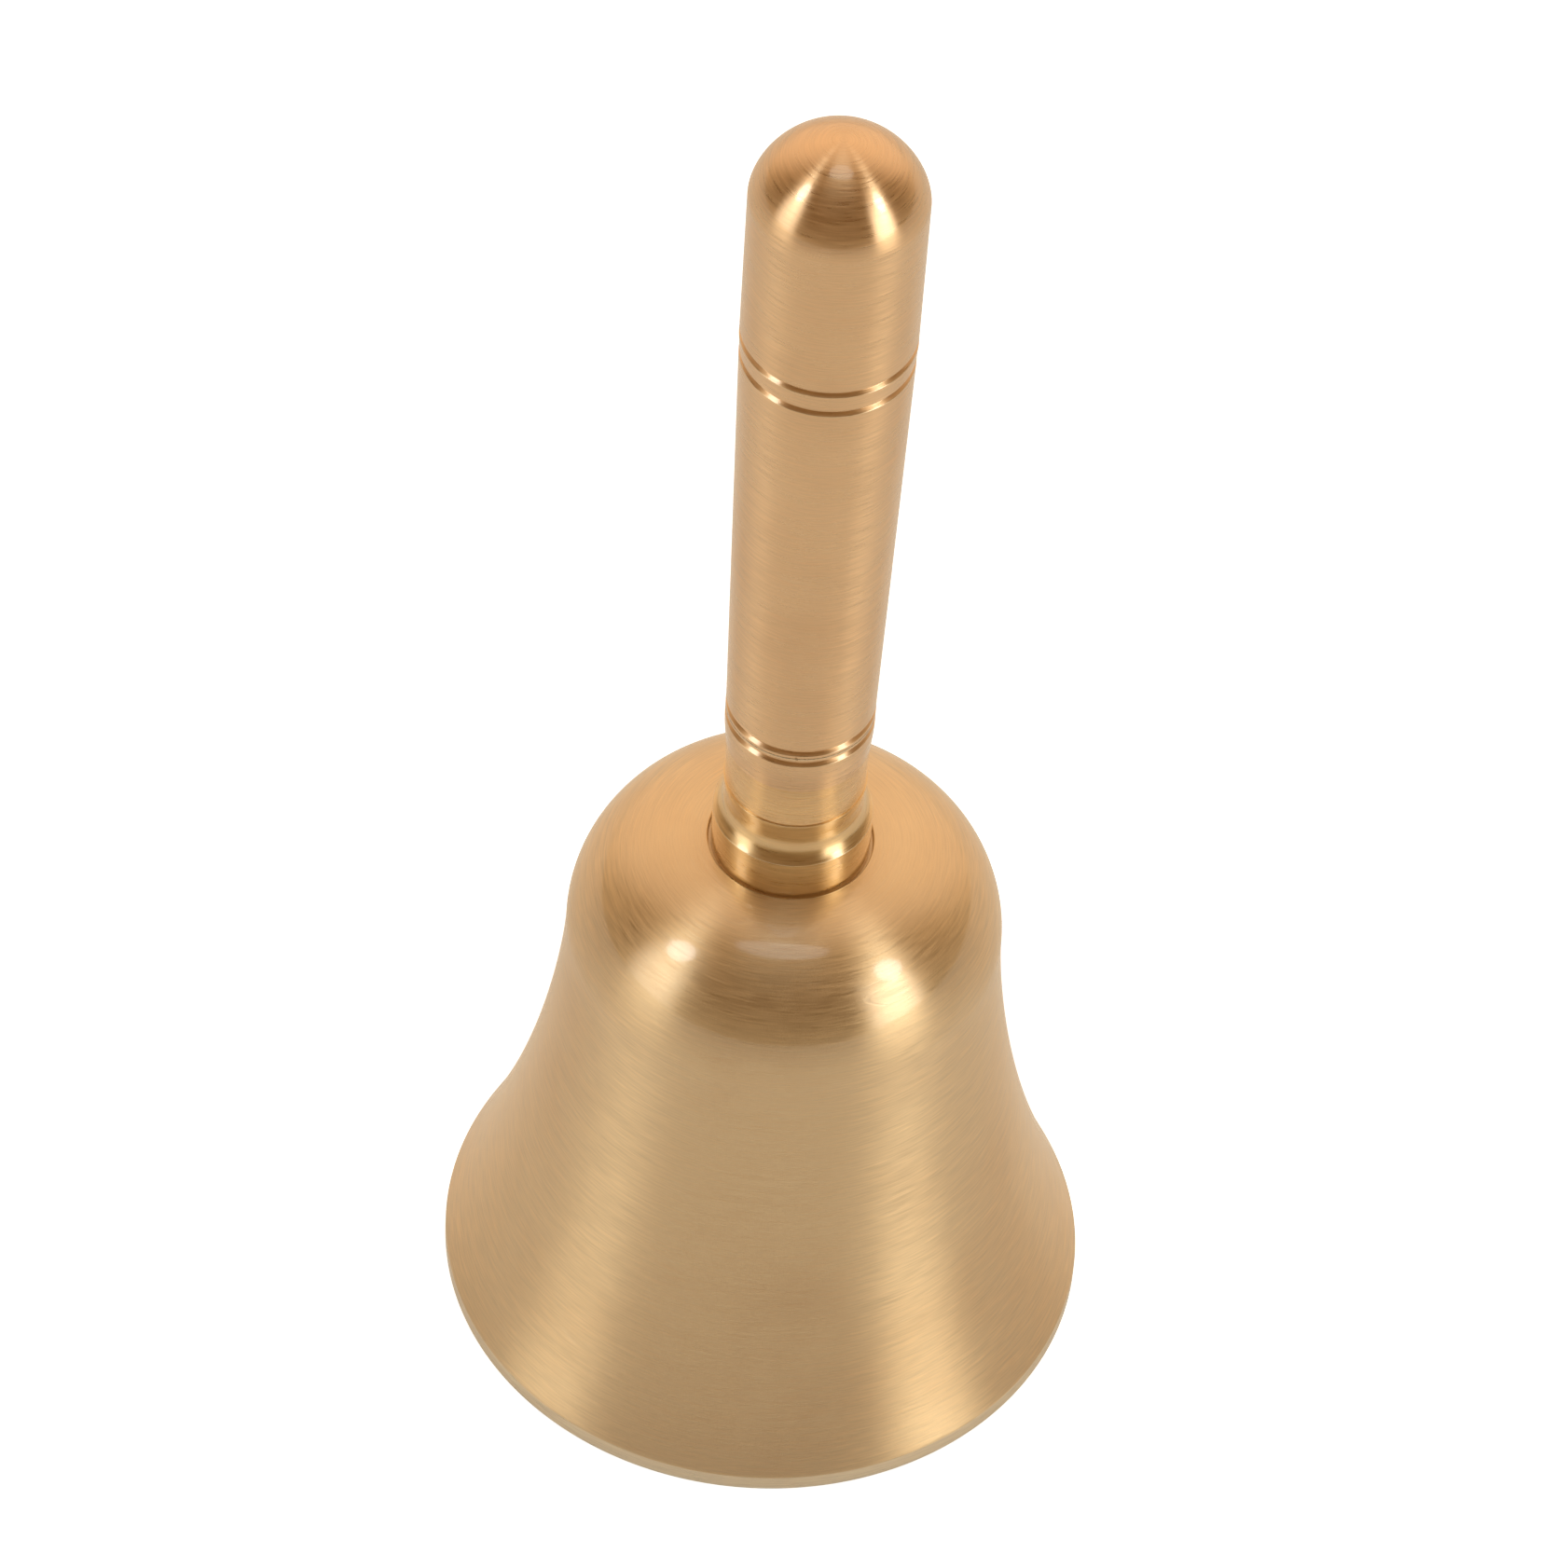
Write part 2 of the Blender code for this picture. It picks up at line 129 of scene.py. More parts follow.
def soften(corners: Sequence[Corner], closed: bool = False, steps: int = 5) -> np.ndarray:
    """An outline with rounded corners.

    Each corner is replaced by the arc that touches both of its edges. The arc's centre lies on the corner's
    bisector, its radius over the sine of the half angle away, and its points turn evenly from edge to edge.

    Args:
        corners: (r, z, radius) of each corner. A corner of radius 0 stays as it is.
        closed: Whether the last corner is joined to the first.
        steps: How many chords each arc has.

    Returns:
        The points (r, z).
    """
    places = np.array([corner[:2] for corner in corners])
    last = len(corners) - 1
    parts = []
    for i, (place, (_, _, radius)) in enumerate(zip(places, corners)):
        if radius == 0.0 or (not closed and i in (0, last)):
            parts.append(place[None, :])
            continue
        before = places[i - 1] - place
        after = places[(i + 1) % len(corners)] - place
        before /= np.linalg.norm(before)
        after /= np.linalg.norm(after)
        half = 0.5 * math.acos(float(np.clip(before @ after, -1.0, 1.0)))
        bisector = (before + after) / np.linalg.norm(before + after)
        centre = place + bisector * radius / math.sin(half)
        first = place + before * radius / math.tan(half) - centre
        second = place + after * radius / math.tan(half) - centre
        sweep = math.pi - 2.0 * half
        t = np.linspace(0.0, 1.0, steps + 1)[:, None]
        turned = np.sin((1 - t) * sweep) * first + np.sin(t * sweep) * second
        parts.append(centre + turned / math.sin(sweep))
    return np.vstack(parts)


def joined(*parts: np.ndarray) -> np.ndarray:
    """One outline from several.

    Args:
        *parts: The points (r, z) of each, in order.

    Returns:
        All the points, without those that repeat the one before.
    """
    points = np.vstack(parts)
    step = np.linalg.norm(np.diff(points, axis=0), axis=1)
    return points[np.concatenate([[True], step > 1e-7])]


# --- Surfaces -----------------------------------------------------------------------------------------------


@dataclass(frozen=True)
class Sheet:
    """A surface given as rings of points, each ring running once round the piece's own axis.

    The rings run down the outer side. An open surface starts and ends on its axis, and a closed one comes
    back up the bore to its first ring.

    Attributes:
        radius: Distance of each point from the axis, one row for each ring.
        height: Height of each point along the axis, one row for each ring.
        closed: Whether the last ring is joined to the first.
        exact_normals: Whether the surface is a pure solid of revolution, whose normals follow its outline.
    """

    radius: np.ndarray
    height: np.ndarray
    closed: bool = False
    exact_normals: bool = True

    @classmethod
    def turned(cls, outline: np.ndarray, segments: int, closed: bool = False) -> "Sheet":
        """The solid of revolution of an outline: every ring has the outline's own radius and height.

        Args:
            outline: The (r, z) points, top to bottom down the outer side.
            segments: How many points each ring has.
            closed: Whether the outline is closed, which makes a ring-shaped solid.

        Returns:
            The surface.
        """
        around = np.ones(segments)
        return cls(np.outer(outline[:, 0], around), np.outer(outline[:, 1], around), closed)


def arc_length(radius: np.ndarray, height: np.ndarray) -> np.ndarray:
    """How far along the outline each ring lies: the running sum of the distances between its points."""
    step = np.hypot(np.diff(radius[:, 0]), np.diff(height[:, 0]))
    return np.concatenate([[0.0], np.cumsum(step)])


def outline_facts(sheet: Sheet) -> tuple[np.ndarray, np.ndarray]:
    """The outline's outward normals and how sharply it bends.

    A ring's normal is the mean of the normals of its two chords, weighted by their length. The bend is the
    turn from one chord to the next over their mean length, times the edge radius: +1 is an edge as sharp as
    that radius or sharper, and -1 is a valley.

    Args:
        sheet: A surface of revolution.

    Returns:
        The normals (n_r, n_z), one row for each ring, and the bend of each ring.
    """
    points = np.stack([sheet.radius[:, 0], sheet.height[:, 0]], axis=1)
    if sheet.closed:
        chord_in = points - np.roll(points, 1, axis=0)
        chord_out = np.roll(points, -1, axis=0) - points
    else:
        chord = np.diff(points, axis=0)
        chord_in = np.vstack([chord[:1], chord])
        chord_out = np.vstack([chord, chord[-1:]])
    # A chord's length times its unit normal is the chord turned by a right angle.
    total = (chord_in + chord_out) @ np.array([[0.0, 1.0], [-1.0, 0.0]])
    normal = total / np.maximum(np.linalg.norm(total, axis=1, keepdims=True), 1e-12)
    length_in = np.linalg.norm(chord_in, axis=1)
    length_out = np.linalg.norm(chord_out, axis=1)
    cross = chord_in[:, 0] * chord_out[:, 1] - chord_in[:, 1] * chord_out[:, 0]
    dot = np.sum(chord_in * chord_out, axis=1)
    bend = -np.arctan2(cross, dot) / (0.5 * (length_in + length_out))
    return normal, np.clip(bend * EDGE_RADIUS, -1.0, 1.0)


def store(mesh: Mesh, name: str, values: np.ndarray) -> None:
    """Keeps a number, or three, for each vertex of a mesh as a named attribute."""
    kind, key = ("FLOAT_VECTOR", "vector") if values.ndim == 2 else ("FLOAT", "value")
    mesh.attributes.new(name, kind, "POINT").data.foreach_set(key, values.astype(np.float32).ravel())


def surface_mesh(name: str, sheet: Sheet, axis: Matrix | None = None) -> Mesh:
    """A mesh from rings: x and y are the radius times the angle's cosine and sine, and z is the height.

    Neighbouring rings are joined by quads, and a ring of no radius becomes one pole with a fan of triangles.
    The mesh carries a UV map (share of a turn, share of the outline), the attribute "lathe" (x, y and the
    distance along the outline, about the piece's own axis) and the attribute "bend" (see outline_facts).

    Args:
        name: The mesh's name.
        sheet: The rings.
        axis: Takes the piece's own axis, +Z through the origin, to its place. None leaves it there.

    Returns:
        The mesh, with its faces pointing out.
    """
    rings, segments = sheet.radius.shape
    angle = np.arange(segments) * (2.0 * math.pi / segments)
    x = sheet.radius * np.cos(angle)
    y = sheet.radius * np.sin(angle)
    along = arc_length(sheet.radius, sheet.height)
    normal, bend = outline_facts(sheet)

    pole = (sheet.radius.max(axis=1) < 1e-9) & (not sheet.closed)
    first = np.concatenate([[0], np.cumsum(np.where(pole, 1, segments))[:-1]])
    grid = first[:, None] + np.where(pole[:, None], 0, np.arange(segments)[None, :])
    keep = ~pole[:, None] | (np.arange(segments) == 0)[None, :]

    co = np.stack([x, y, sheet.height], axis=2)[keep]
    lathe = np.stack([x, y, np.broadcast_to(along[:, None], x.shape)], axis=2)[keep]
    bends = np.broadcast_to(bend[:, None], x.shape)[keep]

    following = np.roll(grid, -1, axis=1)
    below = np.roll(grid, -1, axis=0)
    below_following = np.roll(following, -1, axis=0)
    quads = np.stack([grid, below, below_following, following], axis=2)
    share = np.arange(segments + 1) / segments
    v = 1.0 - along / max(along[-1], 1e-9)
    v_below = np.roll(v, -1)
    u_left = np.broadcast_to(share[:-1], grid.shape)
    u_right = np.broadcast_to(share[1:], grid.shape)
    v_up = np.broadcast_to(v[:, None], grid.shape)
    v_down = np.broadcast_to(v_below[:, None], grid.shape)
    uv = np.stack([u_left, v_up, u_left, v_down, u_right, v_down, u_right, v_up], axis=2)
    rows = slice(None) if sheet.closed else slice(0, rings - 1)
    quads = quads[rows].reshape(-1, 4)
    uv = uv[rows].reshape(-1, 4, 2)

    # A quad beside a pole repeats the pole vertex, so it loses that corner and becomes a triangle.
    corner_kept = quads != np.roll(quads, 1, axis=1)
    counts = corner_kept.sum(axis=1)
    loops = quads[corner_kept]
    loop_uv = uv[corner_kept]

    mesh = bpy.data.meshes.new(name)
    mesh.vertices.add(len(co))
    mesh.vertices.foreach_set("co", co.astype(np.float32).ravel())
    mesh.loops.add(len(loops))
    mesh.loops.foreach_set("vertex_index", loops.astype(np.int32))
    mesh.polygons.add(len(counts))
    starts = np.concatenate([[0], np.cumsum(counts)[:-1]])
    mesh.polygons.foreach_set("loop_start", starts.astype(np.int32))
    mesh.update(calc_edges=True)
    layer = mesh.uv_layers.new(name="turned")
    layer.uv.foreach_set("vector", loop_uv.astype(np.float32).ravel())
    store(mesh, "lathe", lathe)
    store(mesh, "bend", bends)
    mesh.shade_smooth()
    if sheet.exact_normals:
        n_r, n_z = normal[:, 0][:, None], normal[:, 1][:, None]
        exact = np.stack([n_r * np.cos(angle), n_r * np.sin(angle), np.broadcast_to(n_z, x.shape)], axis=2)
        exact[pole] = (0.0, 0.0, 1.0)
        exact[-1][pole[-1]] = (0.0, 0.0, -1.0)
        mesh.normals_split_custom_set_from_vertices(exact[keep].astype(np.float32).tolist())
    else:
        mesh.set_sharp_from_angle(angle=CREASE)
    if axis is not None:
        mesh.transform(axis)
    mesh.validate()
    return mesh


def hexagon(segments: int, apothem: float) -> np.ndarray:
    """Distance from a hexagon's centre to its side: the apothem over the cosine of the angle to the middle of
    the nearest side.

    Args:
        segments: At how many even angles.
        apothem: Half the width across the flats.

    Returns:
        The distance at each angle.
    """
    angle = np.arange(segments) * (2.0 * math.pi / segments)
    sixth = math.pi / 3.0
    return apothem / np.cos((angle + 0.5 * sixth) % sixth - 0.5 * sixth)


def hex_nut_sheet(flats: float, foot: float, top: float, bore: float, segments: int = 144) -> Sheet:
    """A hexagonal nut with both faces turned to a cone at the corners.

    Round rings make the bore and the flat faces. Each outer ring has the hexagon's own distance from the
    axis, and its height is lowered by the cone of 30 degrees that starts on a circle just inside the flats.

    Args:
        flats: Width across the flats.
        foot: Height of the lower face.
        top: Height of the upper face.
        bore: Radius of the hole.
        segments: How many points each ring has, a multiple of 12 so that the corners are points.

    Returns:
        The surface.
    """
    apothem = 0.5 * flats
    outer = hexagon(segments, apothem)
    flat = np.ones(segments)
    face_edge = 0.94 * apothem
    drop = (outer - face_edge) * math.tan(30.0 * DEGREE)
    lead = 0.12 * apothem
    radius = [bore * flat, (bore + lead) * flat, face_edge * flat, outer, outer]
    radius += [face_edge * flat, (bore + lead) * flat, bore * flat]
    height = [(top - lead) * flat, top * flat, top * flat, top - drop, foot + drop]
    height += [foot * flat, foot * flat, (foot + lead) * flat]
    return Sheet(np.array(radius), np.array(height), closed=True, exact_normals=False)


def threaded(
    outline: np.ndarray, segments: int, pitch: float, depth: float, low: float, high: float
) -> Sheet:
    """A turned outline with a screw thread cut into the part of it between two heights.

    The radius is lowered by the depth times a triangle wave of (height / pitch - angle / full turn), which
    climbs one pitch for each turn. The cut fades in over one pitch at both ends.

    Args:
        outline: The (r, z) points of the blank, finely spaced where the thread runs.
        segments: How many points each ring has.
        pitch: Rise of the thread for each turn.
        depth: Depth of the thread.
        low: Height of the thread's lower end.
        high: Height of its upper end.

    Returns:
        The surface.
    """
    blank = Sheet.turned(outline, segments)
    turn = np.arange(segments) / segments
    phase = (blank.height / pitch - turn) % 1.0
    wave = np.abs(2.0 * phase - 1.0)
    below, above = (blank.height - low) / pitch, (high - blank.height) / pitch
    fade = np.clip(below, 0.0, 1.0) * np.clip(above, 0.0, 1.0)
    full = outline[:, 0].max()
    on_shank = (blank.radius > 0.98 * full) & (fade > 0.0)
    return Sheet(blank.radius - depth * wave * fade * on_shank, blank.height, exact_normals=False)


# --- Shader graphs ------------------------------------------------------------------------------------------

Setting = NodeSocket | float | tuple


def feed(tree: NodeTree, node: Node, inputs: dict[str, Setting]) -> None:
    """Sets or links a node's inputs.

    Args:
        tree: The node tree.
        node: The node.
        inputs: A value or another node's output for each input, named as for add_node.
    """
    for key, value in inputs.items():
        socket = node.inputs[int(key[1:])] if key[1:].isdigit() else node.inputs[key.replace("_", " ")]
        if isinstance(value, NodeSocket):
            tree.links.new(value, socket)
        else:
            socket.default_value = value


def add_node(tree: NodeTree, kind: str, settings: dict | None = None, **inputs: Setting) -> Node:
    """Adds a shader node.

    Args:
        tree: The node tree.
        kind: The node's type, without "ShaderNode" in front.
        settings: Properties of the node, by name.
        **inputs: A value or another node's output for each input. Spaces in a socket's name are written as _,
            and _0, _1 and so on stand for the place of an input whose name is used twice.

    Returns:
        The node.
    """
    node = tree.nodes.new("ShaderNode" + kind)
    for key, value in (settings or {}).items():
        setattr(node, key, value)
    feed(tree, node, inputs)
    return node


def math_node(tree: NodeTree, operation: str, a: Setting, b: Setting = 0.0, c: Setting = 0.0) -> NodeSocket:
    """The output of a Math node with up to three inputs."""
    return add_node(tree, "Math", {"operation": operation}, _0=a, _1=b, _2=c).outputs[0]


def times(tree: NodeTree, a: Setting, b: Setting) -> NodeSocket:
    """The product of two values."""
    return math_node(tree, "MULTIPLY", a, b)


def minus(tree: NodeTree, a: Setting, b: Setting) -> NodeSocket:
    """One value less another."""
    return math_node(tree, "SUBTRACT", a, b)


def vector_math(tree: NodeTree, operation: str, a: Setting, b: Setting = (0.0, 0.0, 0.0)) -> NodeSocket:
    """The output of a Vector Math node: a value for a dot product, and otherwise a vector."""
    node = add_node(tree, "VectorMath", {"operation": operation}, _0=a, _1=b)
    return node.outputs["Value" if operation == "DOT_PRODUCT" else "Vector"]


def remap(tree: NodeTree, value: Setting, low: Setting, high: Setting) -> NodeSocket:
    """A value taken smoothly from 0 at low to 1 at high."""
    settings = {"interpolation_type": "SMOOTHSTEP"}
    return add_node(tree, "MapRange", settings, Value=value, From_Min=low, From_Max=high).outputs["Result"]


def blend_colour(tree: NodeTree, factor: Setting, a: Setting, b: Setting, way: str = "MIX") -> NodeSocket:
    """The colour output of a Mix node: a at factor 0, and b mixed in the given way at factor 1."""
    return add_node(tree, "Mix", {"data_type": "RGBA", "blend_type": way}, _0=factor, _6=a, _7=b).outputs[2]


class Effect(Enum):
    """Surface effects that several metals share, each built once as a node group."""

    LATHE_MARKS = "lathe_marks"
    PATINA = "patina"
    HAIRLINES = "hairlines"
    EDGE_WEAR_AND_GLINT = "edge_wear_and_painted_glint"


def new_group(effect: Effect, inputs: dict[str, float | None], outputs: Sequence[str]) -> NodeTree:
    """An empty node group with named sockets.

    Args:
        effect: Gives the group its name.
        inputs: Default of each float input. None makes a vector input.
        outputs: Names of the float outputs.

    Returns:
        The node tree, with its Group Input and Group Output nodes.
    """
    tree = bpy.data.node_groups.new(effect.value, "ShaderNodeTree")
    for name, default in inputs.items():
        kind = "NodeSocketVector" if default is None else "NodeSocketFloat"
        socket = tree.interface.new_socket(name, in_out="INPUT", socket_type=kind)
        if default is not None:
            socket.default_value = default
    for name in outputs:
        tree.interface.new_socket(name, in_out="OUTPUT", socket_type="NodeSocketFloat")
    tree.nodes.new("NodeGroupInput")
    tree.nodes.new("NodeGroupOutput")
    return tree


def group_ends(tree: NodeTree) -> tuple[dict, dict]:
    """The open ends of a node group.

    Args:
        tree: The group's node tree.

    Returns:
        The sockets by name of its input node, and those of its output node.
    """
    start = next(n for n in tree.nodes if n.type == "GROUP_INPUT")
    end = next(n for n in tree.nodes if n.type == "GROUP_OUTPUT")
    return {s.name: s for s in start.outputs}, {s.name: s for s in end.inputs}


def streaks(
    tree: NodeTree, place: Setting, run: Setting, pitch: Setting, seed: float, detail: float = 1.0
) -> NodeSocket:
    """Noise drawn out round the axis: across the marks it changes over the pitch, along them over the run.

    Args:
        tree: The node tree.
        place: The "lathe" vector.
        run: Typical length of a mark.
        pitch: Typical distance between marks.
        seed: Shifts the pattern, so that two sets differ.
        detail: Octaves of the noise.

    Returns:
        The noise's value, about 0 to 1.
    """
    per_run = math_node(tree, "DIVIDE", 1.0, run)
    per_pitch = math_node(tree, "DIVIDE", 1.0, pitch)
    scale = add_node(tree, "CombineXYZ", None, X=per_run, Y=per_run, Z=per_pitch).outputs[0]
    stretched = vector_math(tree, "MULTIPLY", place, scale)
    moved = vector_math(tree, "ADD", stretched, (seed, -seed, 2.0 * seed))
    return add_node(tree, "TexNoise", None, Vector=moved, Scale=1.0, Detail=detail, Roughness=0.55).outputs[0]


def build_lathe_marks() -> NodeTree:
    """Fine marks of the abrasive that was held against the turning piece, in three sizes.

    Short hair-fine strokes, longer strokes about twice as wide, and broad faint rings. Height is their sum as
    a relief, and Tone the same sum centred on zero, for colour and roughness.
    """
    fine_share, wide_share = 0.7, 0.3
    wide_run, wide_pitch = 2.0, 2.2
    ring_run, ring_pitch = 20.0, 9.0
    defaults = {"Place": None, "Pitch": 0.12 * MM, "Run": 3.0 * MM, "Rings": 0.5}
    tree = new_group(Effect.LATHE_MARKS, defaults, ("Height", "Tone"))
    start, end = group_ends(tree)
    place, pitch, run = start["Place"], start["Pitch"], start["Run"]
    fine = streaks(tree, place, run, pitch, 3.1)
    wide = streaks(tree, place, times(tree, run, wide_run), times(tree, pitch, wide_pitch), 11.7)
    rings = streaks(tree, place, times(tree, run, ring_run), times(tree, pitch, ring_pitch), 23.9)
    strokes = math_node(tree, "ADD", times(tree, fine, fine_share), times(tree, wide, wide_share))
    total = math_node(tree, "ADD", strokes, times(tree, minus(tree, rings, 0.5), start["Rings"]))
    tree.links.new(total, end["Height"])
    tree.links.new(minus(tree, total, 0.5), end["Tone"])
    return tree


def build_patina() -> NodeTree:
    """Cloudy darkening from handling: noise of several sizes, cut off softly at a level set by the spread."""
    softness = 0.2
    tree = new_group(Effect.PATINA, {"Place": None, "Size": 22.0 * MM, "Spread": 0.5}, ("Mask",))
    start, end = group_ends(tree)
    per_size = math_node(tree, "DIVIDE", 1.0, start["Size"])
    place = add_node(tree, "VectorMath", {"operation": "SCALE"}, _0=start["Place"], Scale=per_size).outputs[0]
    cloud = add_node(tree, "TexNoise", None, Vector=place, Scale=1.0, Detail=4.0, Roughness=0.6).outputs[0]
    edge = minus(tree, 0.75, times(tree, start["Spread"], 0.5))
    mask = remap(tree, cloud, minus(tree, edge, softness), math_node(tree, "ADD", edge, softness))
    tree.links.new(mask, end["Mask"])
    return tree


def build_hairlines() -> NodeTree:
    """Sparse thin scratches: the level line of a stretched, slightly tilted noise, in scattered patches."""
    tilt = (7.0 * DEGREE, 4.0 * DEGREE, 0.0)
    tree = new_group(Effect.HAIRLINES, {"Place": None, "Spacing": 2.6 * MM, "Amount": 0.5}, ("Mask",))
    start, end = group_ends(tree)
    spacing = start["Spacing"]
    tilted = add_node(tree, "Mapping", None, Vector=start["Place"], Rotation=tilt).outputs[0]
    level = streaks(tree, tilted, times(tree, spacing, 14.0), spacing, 5.3)
    near = math_node(tree, "ABSOLUTE", minus(tree, level, 0.5))
    line = minus(tree, 1.0, remap(tree, near, 0.001, 0.006))
    patch = streaks(tree, start["Place"], times(tree, spacing, 2.0), spacing, 17.2)
    mask = times(tree, times(tree, line, remap(tree, patch, 0.60, 0.66)), start["Amount"])
    tree.links.new(mask, end["Mask"])
    return tree


def build_edge_wear_and_glint() -> NodeTree:
    """Bright edges, partly rubbed wear and partly a painted highlight, and dull valleys, from how sharply the
    surface bends, broken up along the edge.
    """
    least, full = 0.1, 0.8
    tree = new_group(Effect.EDGE_WEAR_AND_GLINT, {"Place": None, "Bend": 0.0}, ("Edge", "Valley"))
    start, end = group_ends(tree)
    breakup = streaks(tree, start["Place"], 2.5 * MM, 0.6 * MM, 8.8, detail=3.0)
    strength = remap(tree, breakup, 0.25, 0.6)
    edge = remap(tree, start["Bend"], least, full)
    tree.links.new(times(tree, edge, strength), end["Edge"])
    tree.links.new(remap(tree, times(tree, start["Bend"], -1.0), least, full), end["Valley"])
    return tree


BUILDERS = {
    Effect.LATHE_MARKS: build_lathe_marks,
    Effect.PATINA: build_patina,
    Effect.HAIRLINES: build_hairlines,
    Effect.EDGE_WEAR_AND_GLINT: build_edge_wear_and_glint,
}


def add_effect(tree: NodeTree, effect: Effect, **inputs: Setting) -> Node:
    """Places an effect's node group in a material, building the group the first time.

    Args:
        tree: The material's node tree.
        effect: Which effect.
        **inputs: Values or sockets for the group's inputs.

    Returns:
        The group node.
    """
    group = bpy.data.node_groups.get(effect.value) or BUILDERS[effect]()
    node = tree.nodes.new("ShaderNodeGroup")
    node.node_tree = group
    feed(tree, node, inputs)
    return node


class Marks(Enum):
    """What a metal's fine marks follow."""

    ROUND = "the axis that the piece was turned on"
    STRAIGHT = "the length of a strap"


# Share of a turn that sets the rough direction across the marks.
ACROSS_THE_MARKS = 0.25
LACQUER_ROUGHNESS = 0.10
LACQUER_IOR = 1.75
# How much rougher the darkened metal is, and how deep a scratch is in reliefs of the marks.
PATINA_DULLS = 0.05
SCRATCH_DEPTH = 1.5


@dataclass(frozen=True)
class Metal:
    """One metal finish.

    Attributes:
        name: The material's name.
        slot: The record's material slot; not used.
        colour: Base colour of the clean metal.
        deep: Colour where it has darkened.
        worn: Colour of rubbed edges and scratches; on sharp edges it is partly a painted highlight.
        roughness: Mean roughness.
        roughness_swing: How much the marks change the roughness.
        anisotropy: How much rougher it is across the marks than along them.
        tone: How much the marks change the colour.
        pitch: Distance between the finest marks.
        run: Length of the finest marks.
        relief: Height of the marks, for the bump.
        rings: Share of broad rings in the marks.
        patina: How far the darkening has spread, 0 to 1.
        hairlines: How strong the scratches are, 0 to 1.
        marks: What the fine marks follow.
        lacquer: How much of the metal is covered by clear lacquer, 0 to 1.
    """

    name: str
    slot: str
    colour: Colour
    deep: Colour
    worn: Colour
    roughness: float
    roughness_swing: float = 0.4
    anisotropy: float = 0.88
    tone: float = 0.5
    pitch: float = 0.15 * MM
    run: float = 2.4 * MM
    relief: float = 0.016 * MM
    rings: float = 0.06
    patina: float = 0.3
    hairlines: float = 0.15
    marks: Marks = Marks.ROUND
    lacquer: float = 1.0

    def material(self) -> Material:
        """The finish as a Principled material, made once."""
        found = bpy.data.materials.get(self.name)
        if found:
            return found
        material = bpy.data.materials.new(self.name)
        material.use_nodes = True
        tree = material.node_tree
        shader = tree.nodes["Principled BSDF"]
        feed(tree, shader, {
            "Metallic": 1.0, "Anisotropic": self.anisotropy, "Anisotropic_Rotation": ACROSS_THE_MARKS,
            "Coat_Weight": self.lacquer, "Coat_Roughness": LACQUER_ROUGHNESS, "Coat_IOR": LACQUER_IOR,
        })
        solid = add_node(tree, "TexCoord").outputs["Object"]
        if self.marks is Marks.ROUND:
            place = add_node(tree, "Attribute", {"attribute_name": "lathe"}).outputs["Vector"]
        else:
            upright = (0.0, 90.0 * DEGREE, 0.0)
            place = add_node(tree, "Mapping", None, Vector=solid, Rotation=upright).outputs[0]
        bend = add_node(tree, "Attribute", {"attribute_name": "bend"}).outputs["Fac"]
        marks = add_effect(
            tree, Effect.LATHE_MARKS, Place=place, Pitch=self.pitch, Run=self.run, Rings=self.rings
        )
        patina = add_effect(tree, Effect.PATINA, Place=solid, Spread=self.patina).outputs["Mask"]
        scratches = add_effect(tree, Effect.HAIRLINES, Place=place, Amount=self.hairlines).outputs["Mask"]
        wear_and_glint = add_effect(tree, Effect.EDGE_WEAR_AND_GLINT, Place=place, Bend=bend)

        tinted = blend_colour(tree, patina, (*self.colour, 1.0), (*self.deep, 1.0))
        # Sharp convex edges take the worn colour: partly rubbed wear, partly a painted highlight where an
        # edge catches the light, as on the rim of the crown's seat.
        rubbed_and_glinting = blend_colour(tree, wear_and_glint.outputs["Edge"], tinted, (*self.worn, 1.0))
        shaded = blend_colour(tree, wear_and_glint.outputs["Valley"], rubbed_and_glinting, (*self.deep, 1.0))
        gain = math_node(tree, "ADD", 1.0, times(tree, marks.outputs["Tone"], self.tone))
        scale = add_node(tree, "CombineXYZ", None, X=gain, Y=gain, Z=gain).outputs[0]
        marked = blend_colour(tree, 1.0, shaded, scale, "MULTIPLY")
        scratched = blend_colour(tree, scratches, marked, (*self.worn, 1.0))

        tone, swing = marks.outputs["Tone"], self.roughness_swing
        rough = math_node(tree, "MULTIPLY_ADD", tone, swing, self.roughness)
        dulled = math_node(tree, "MULTIPLY_ADD", patina, PATINA_DULLS, rough)

        relief = times(tree, marks.outputs["Height"], self.relief)
        height = minus(tree, relief, times(tree, scratches, SCRATCH_DEPTH * self.relief))
        bump = add_node(tree, "Bump", None, Strength=1.0, Distance=1.0, Height=height)
        feed(tree, shader, {
            "Base_Color": scratched, "Roughness": dulled, "Normal": bump.outputs["Normal"],
        })
        return material


BELL_BRASS = Metal(
    "satin_bell_brass", "bell_brass", roughness=0.39,
    colour=(0.90, 0.70, 0.42), deep=(0.84, 0.62, 0.35), worn=(0.96, 0.82, 0.59),
)
HANDLE_BRASS = Metal(
    "satin_handle_brass", "handle_brass", roughness=0.31,
    colour=(0.93, 0.65, 0.37), deep=(0.87, 0.58, 0.31), worn=(0.97, 0.79, 0.53),
)
# The neck band is smoother brass, and its warmer colour is a painted reflection of the crown and collar in
# it.
NECK_BRASS_PAINTED_REFLECTION = Metal(
    "smooth_neck_brass_painted_reflection", "handle_brass", roughness=0.24, roughness_swing=0.3, anisotropy=0.7,
    colour=(0.95, 0.67, 0.33), deep=(0.89, 0.59, 0.27), worn=(0.97, 0.79, 0.52),
)
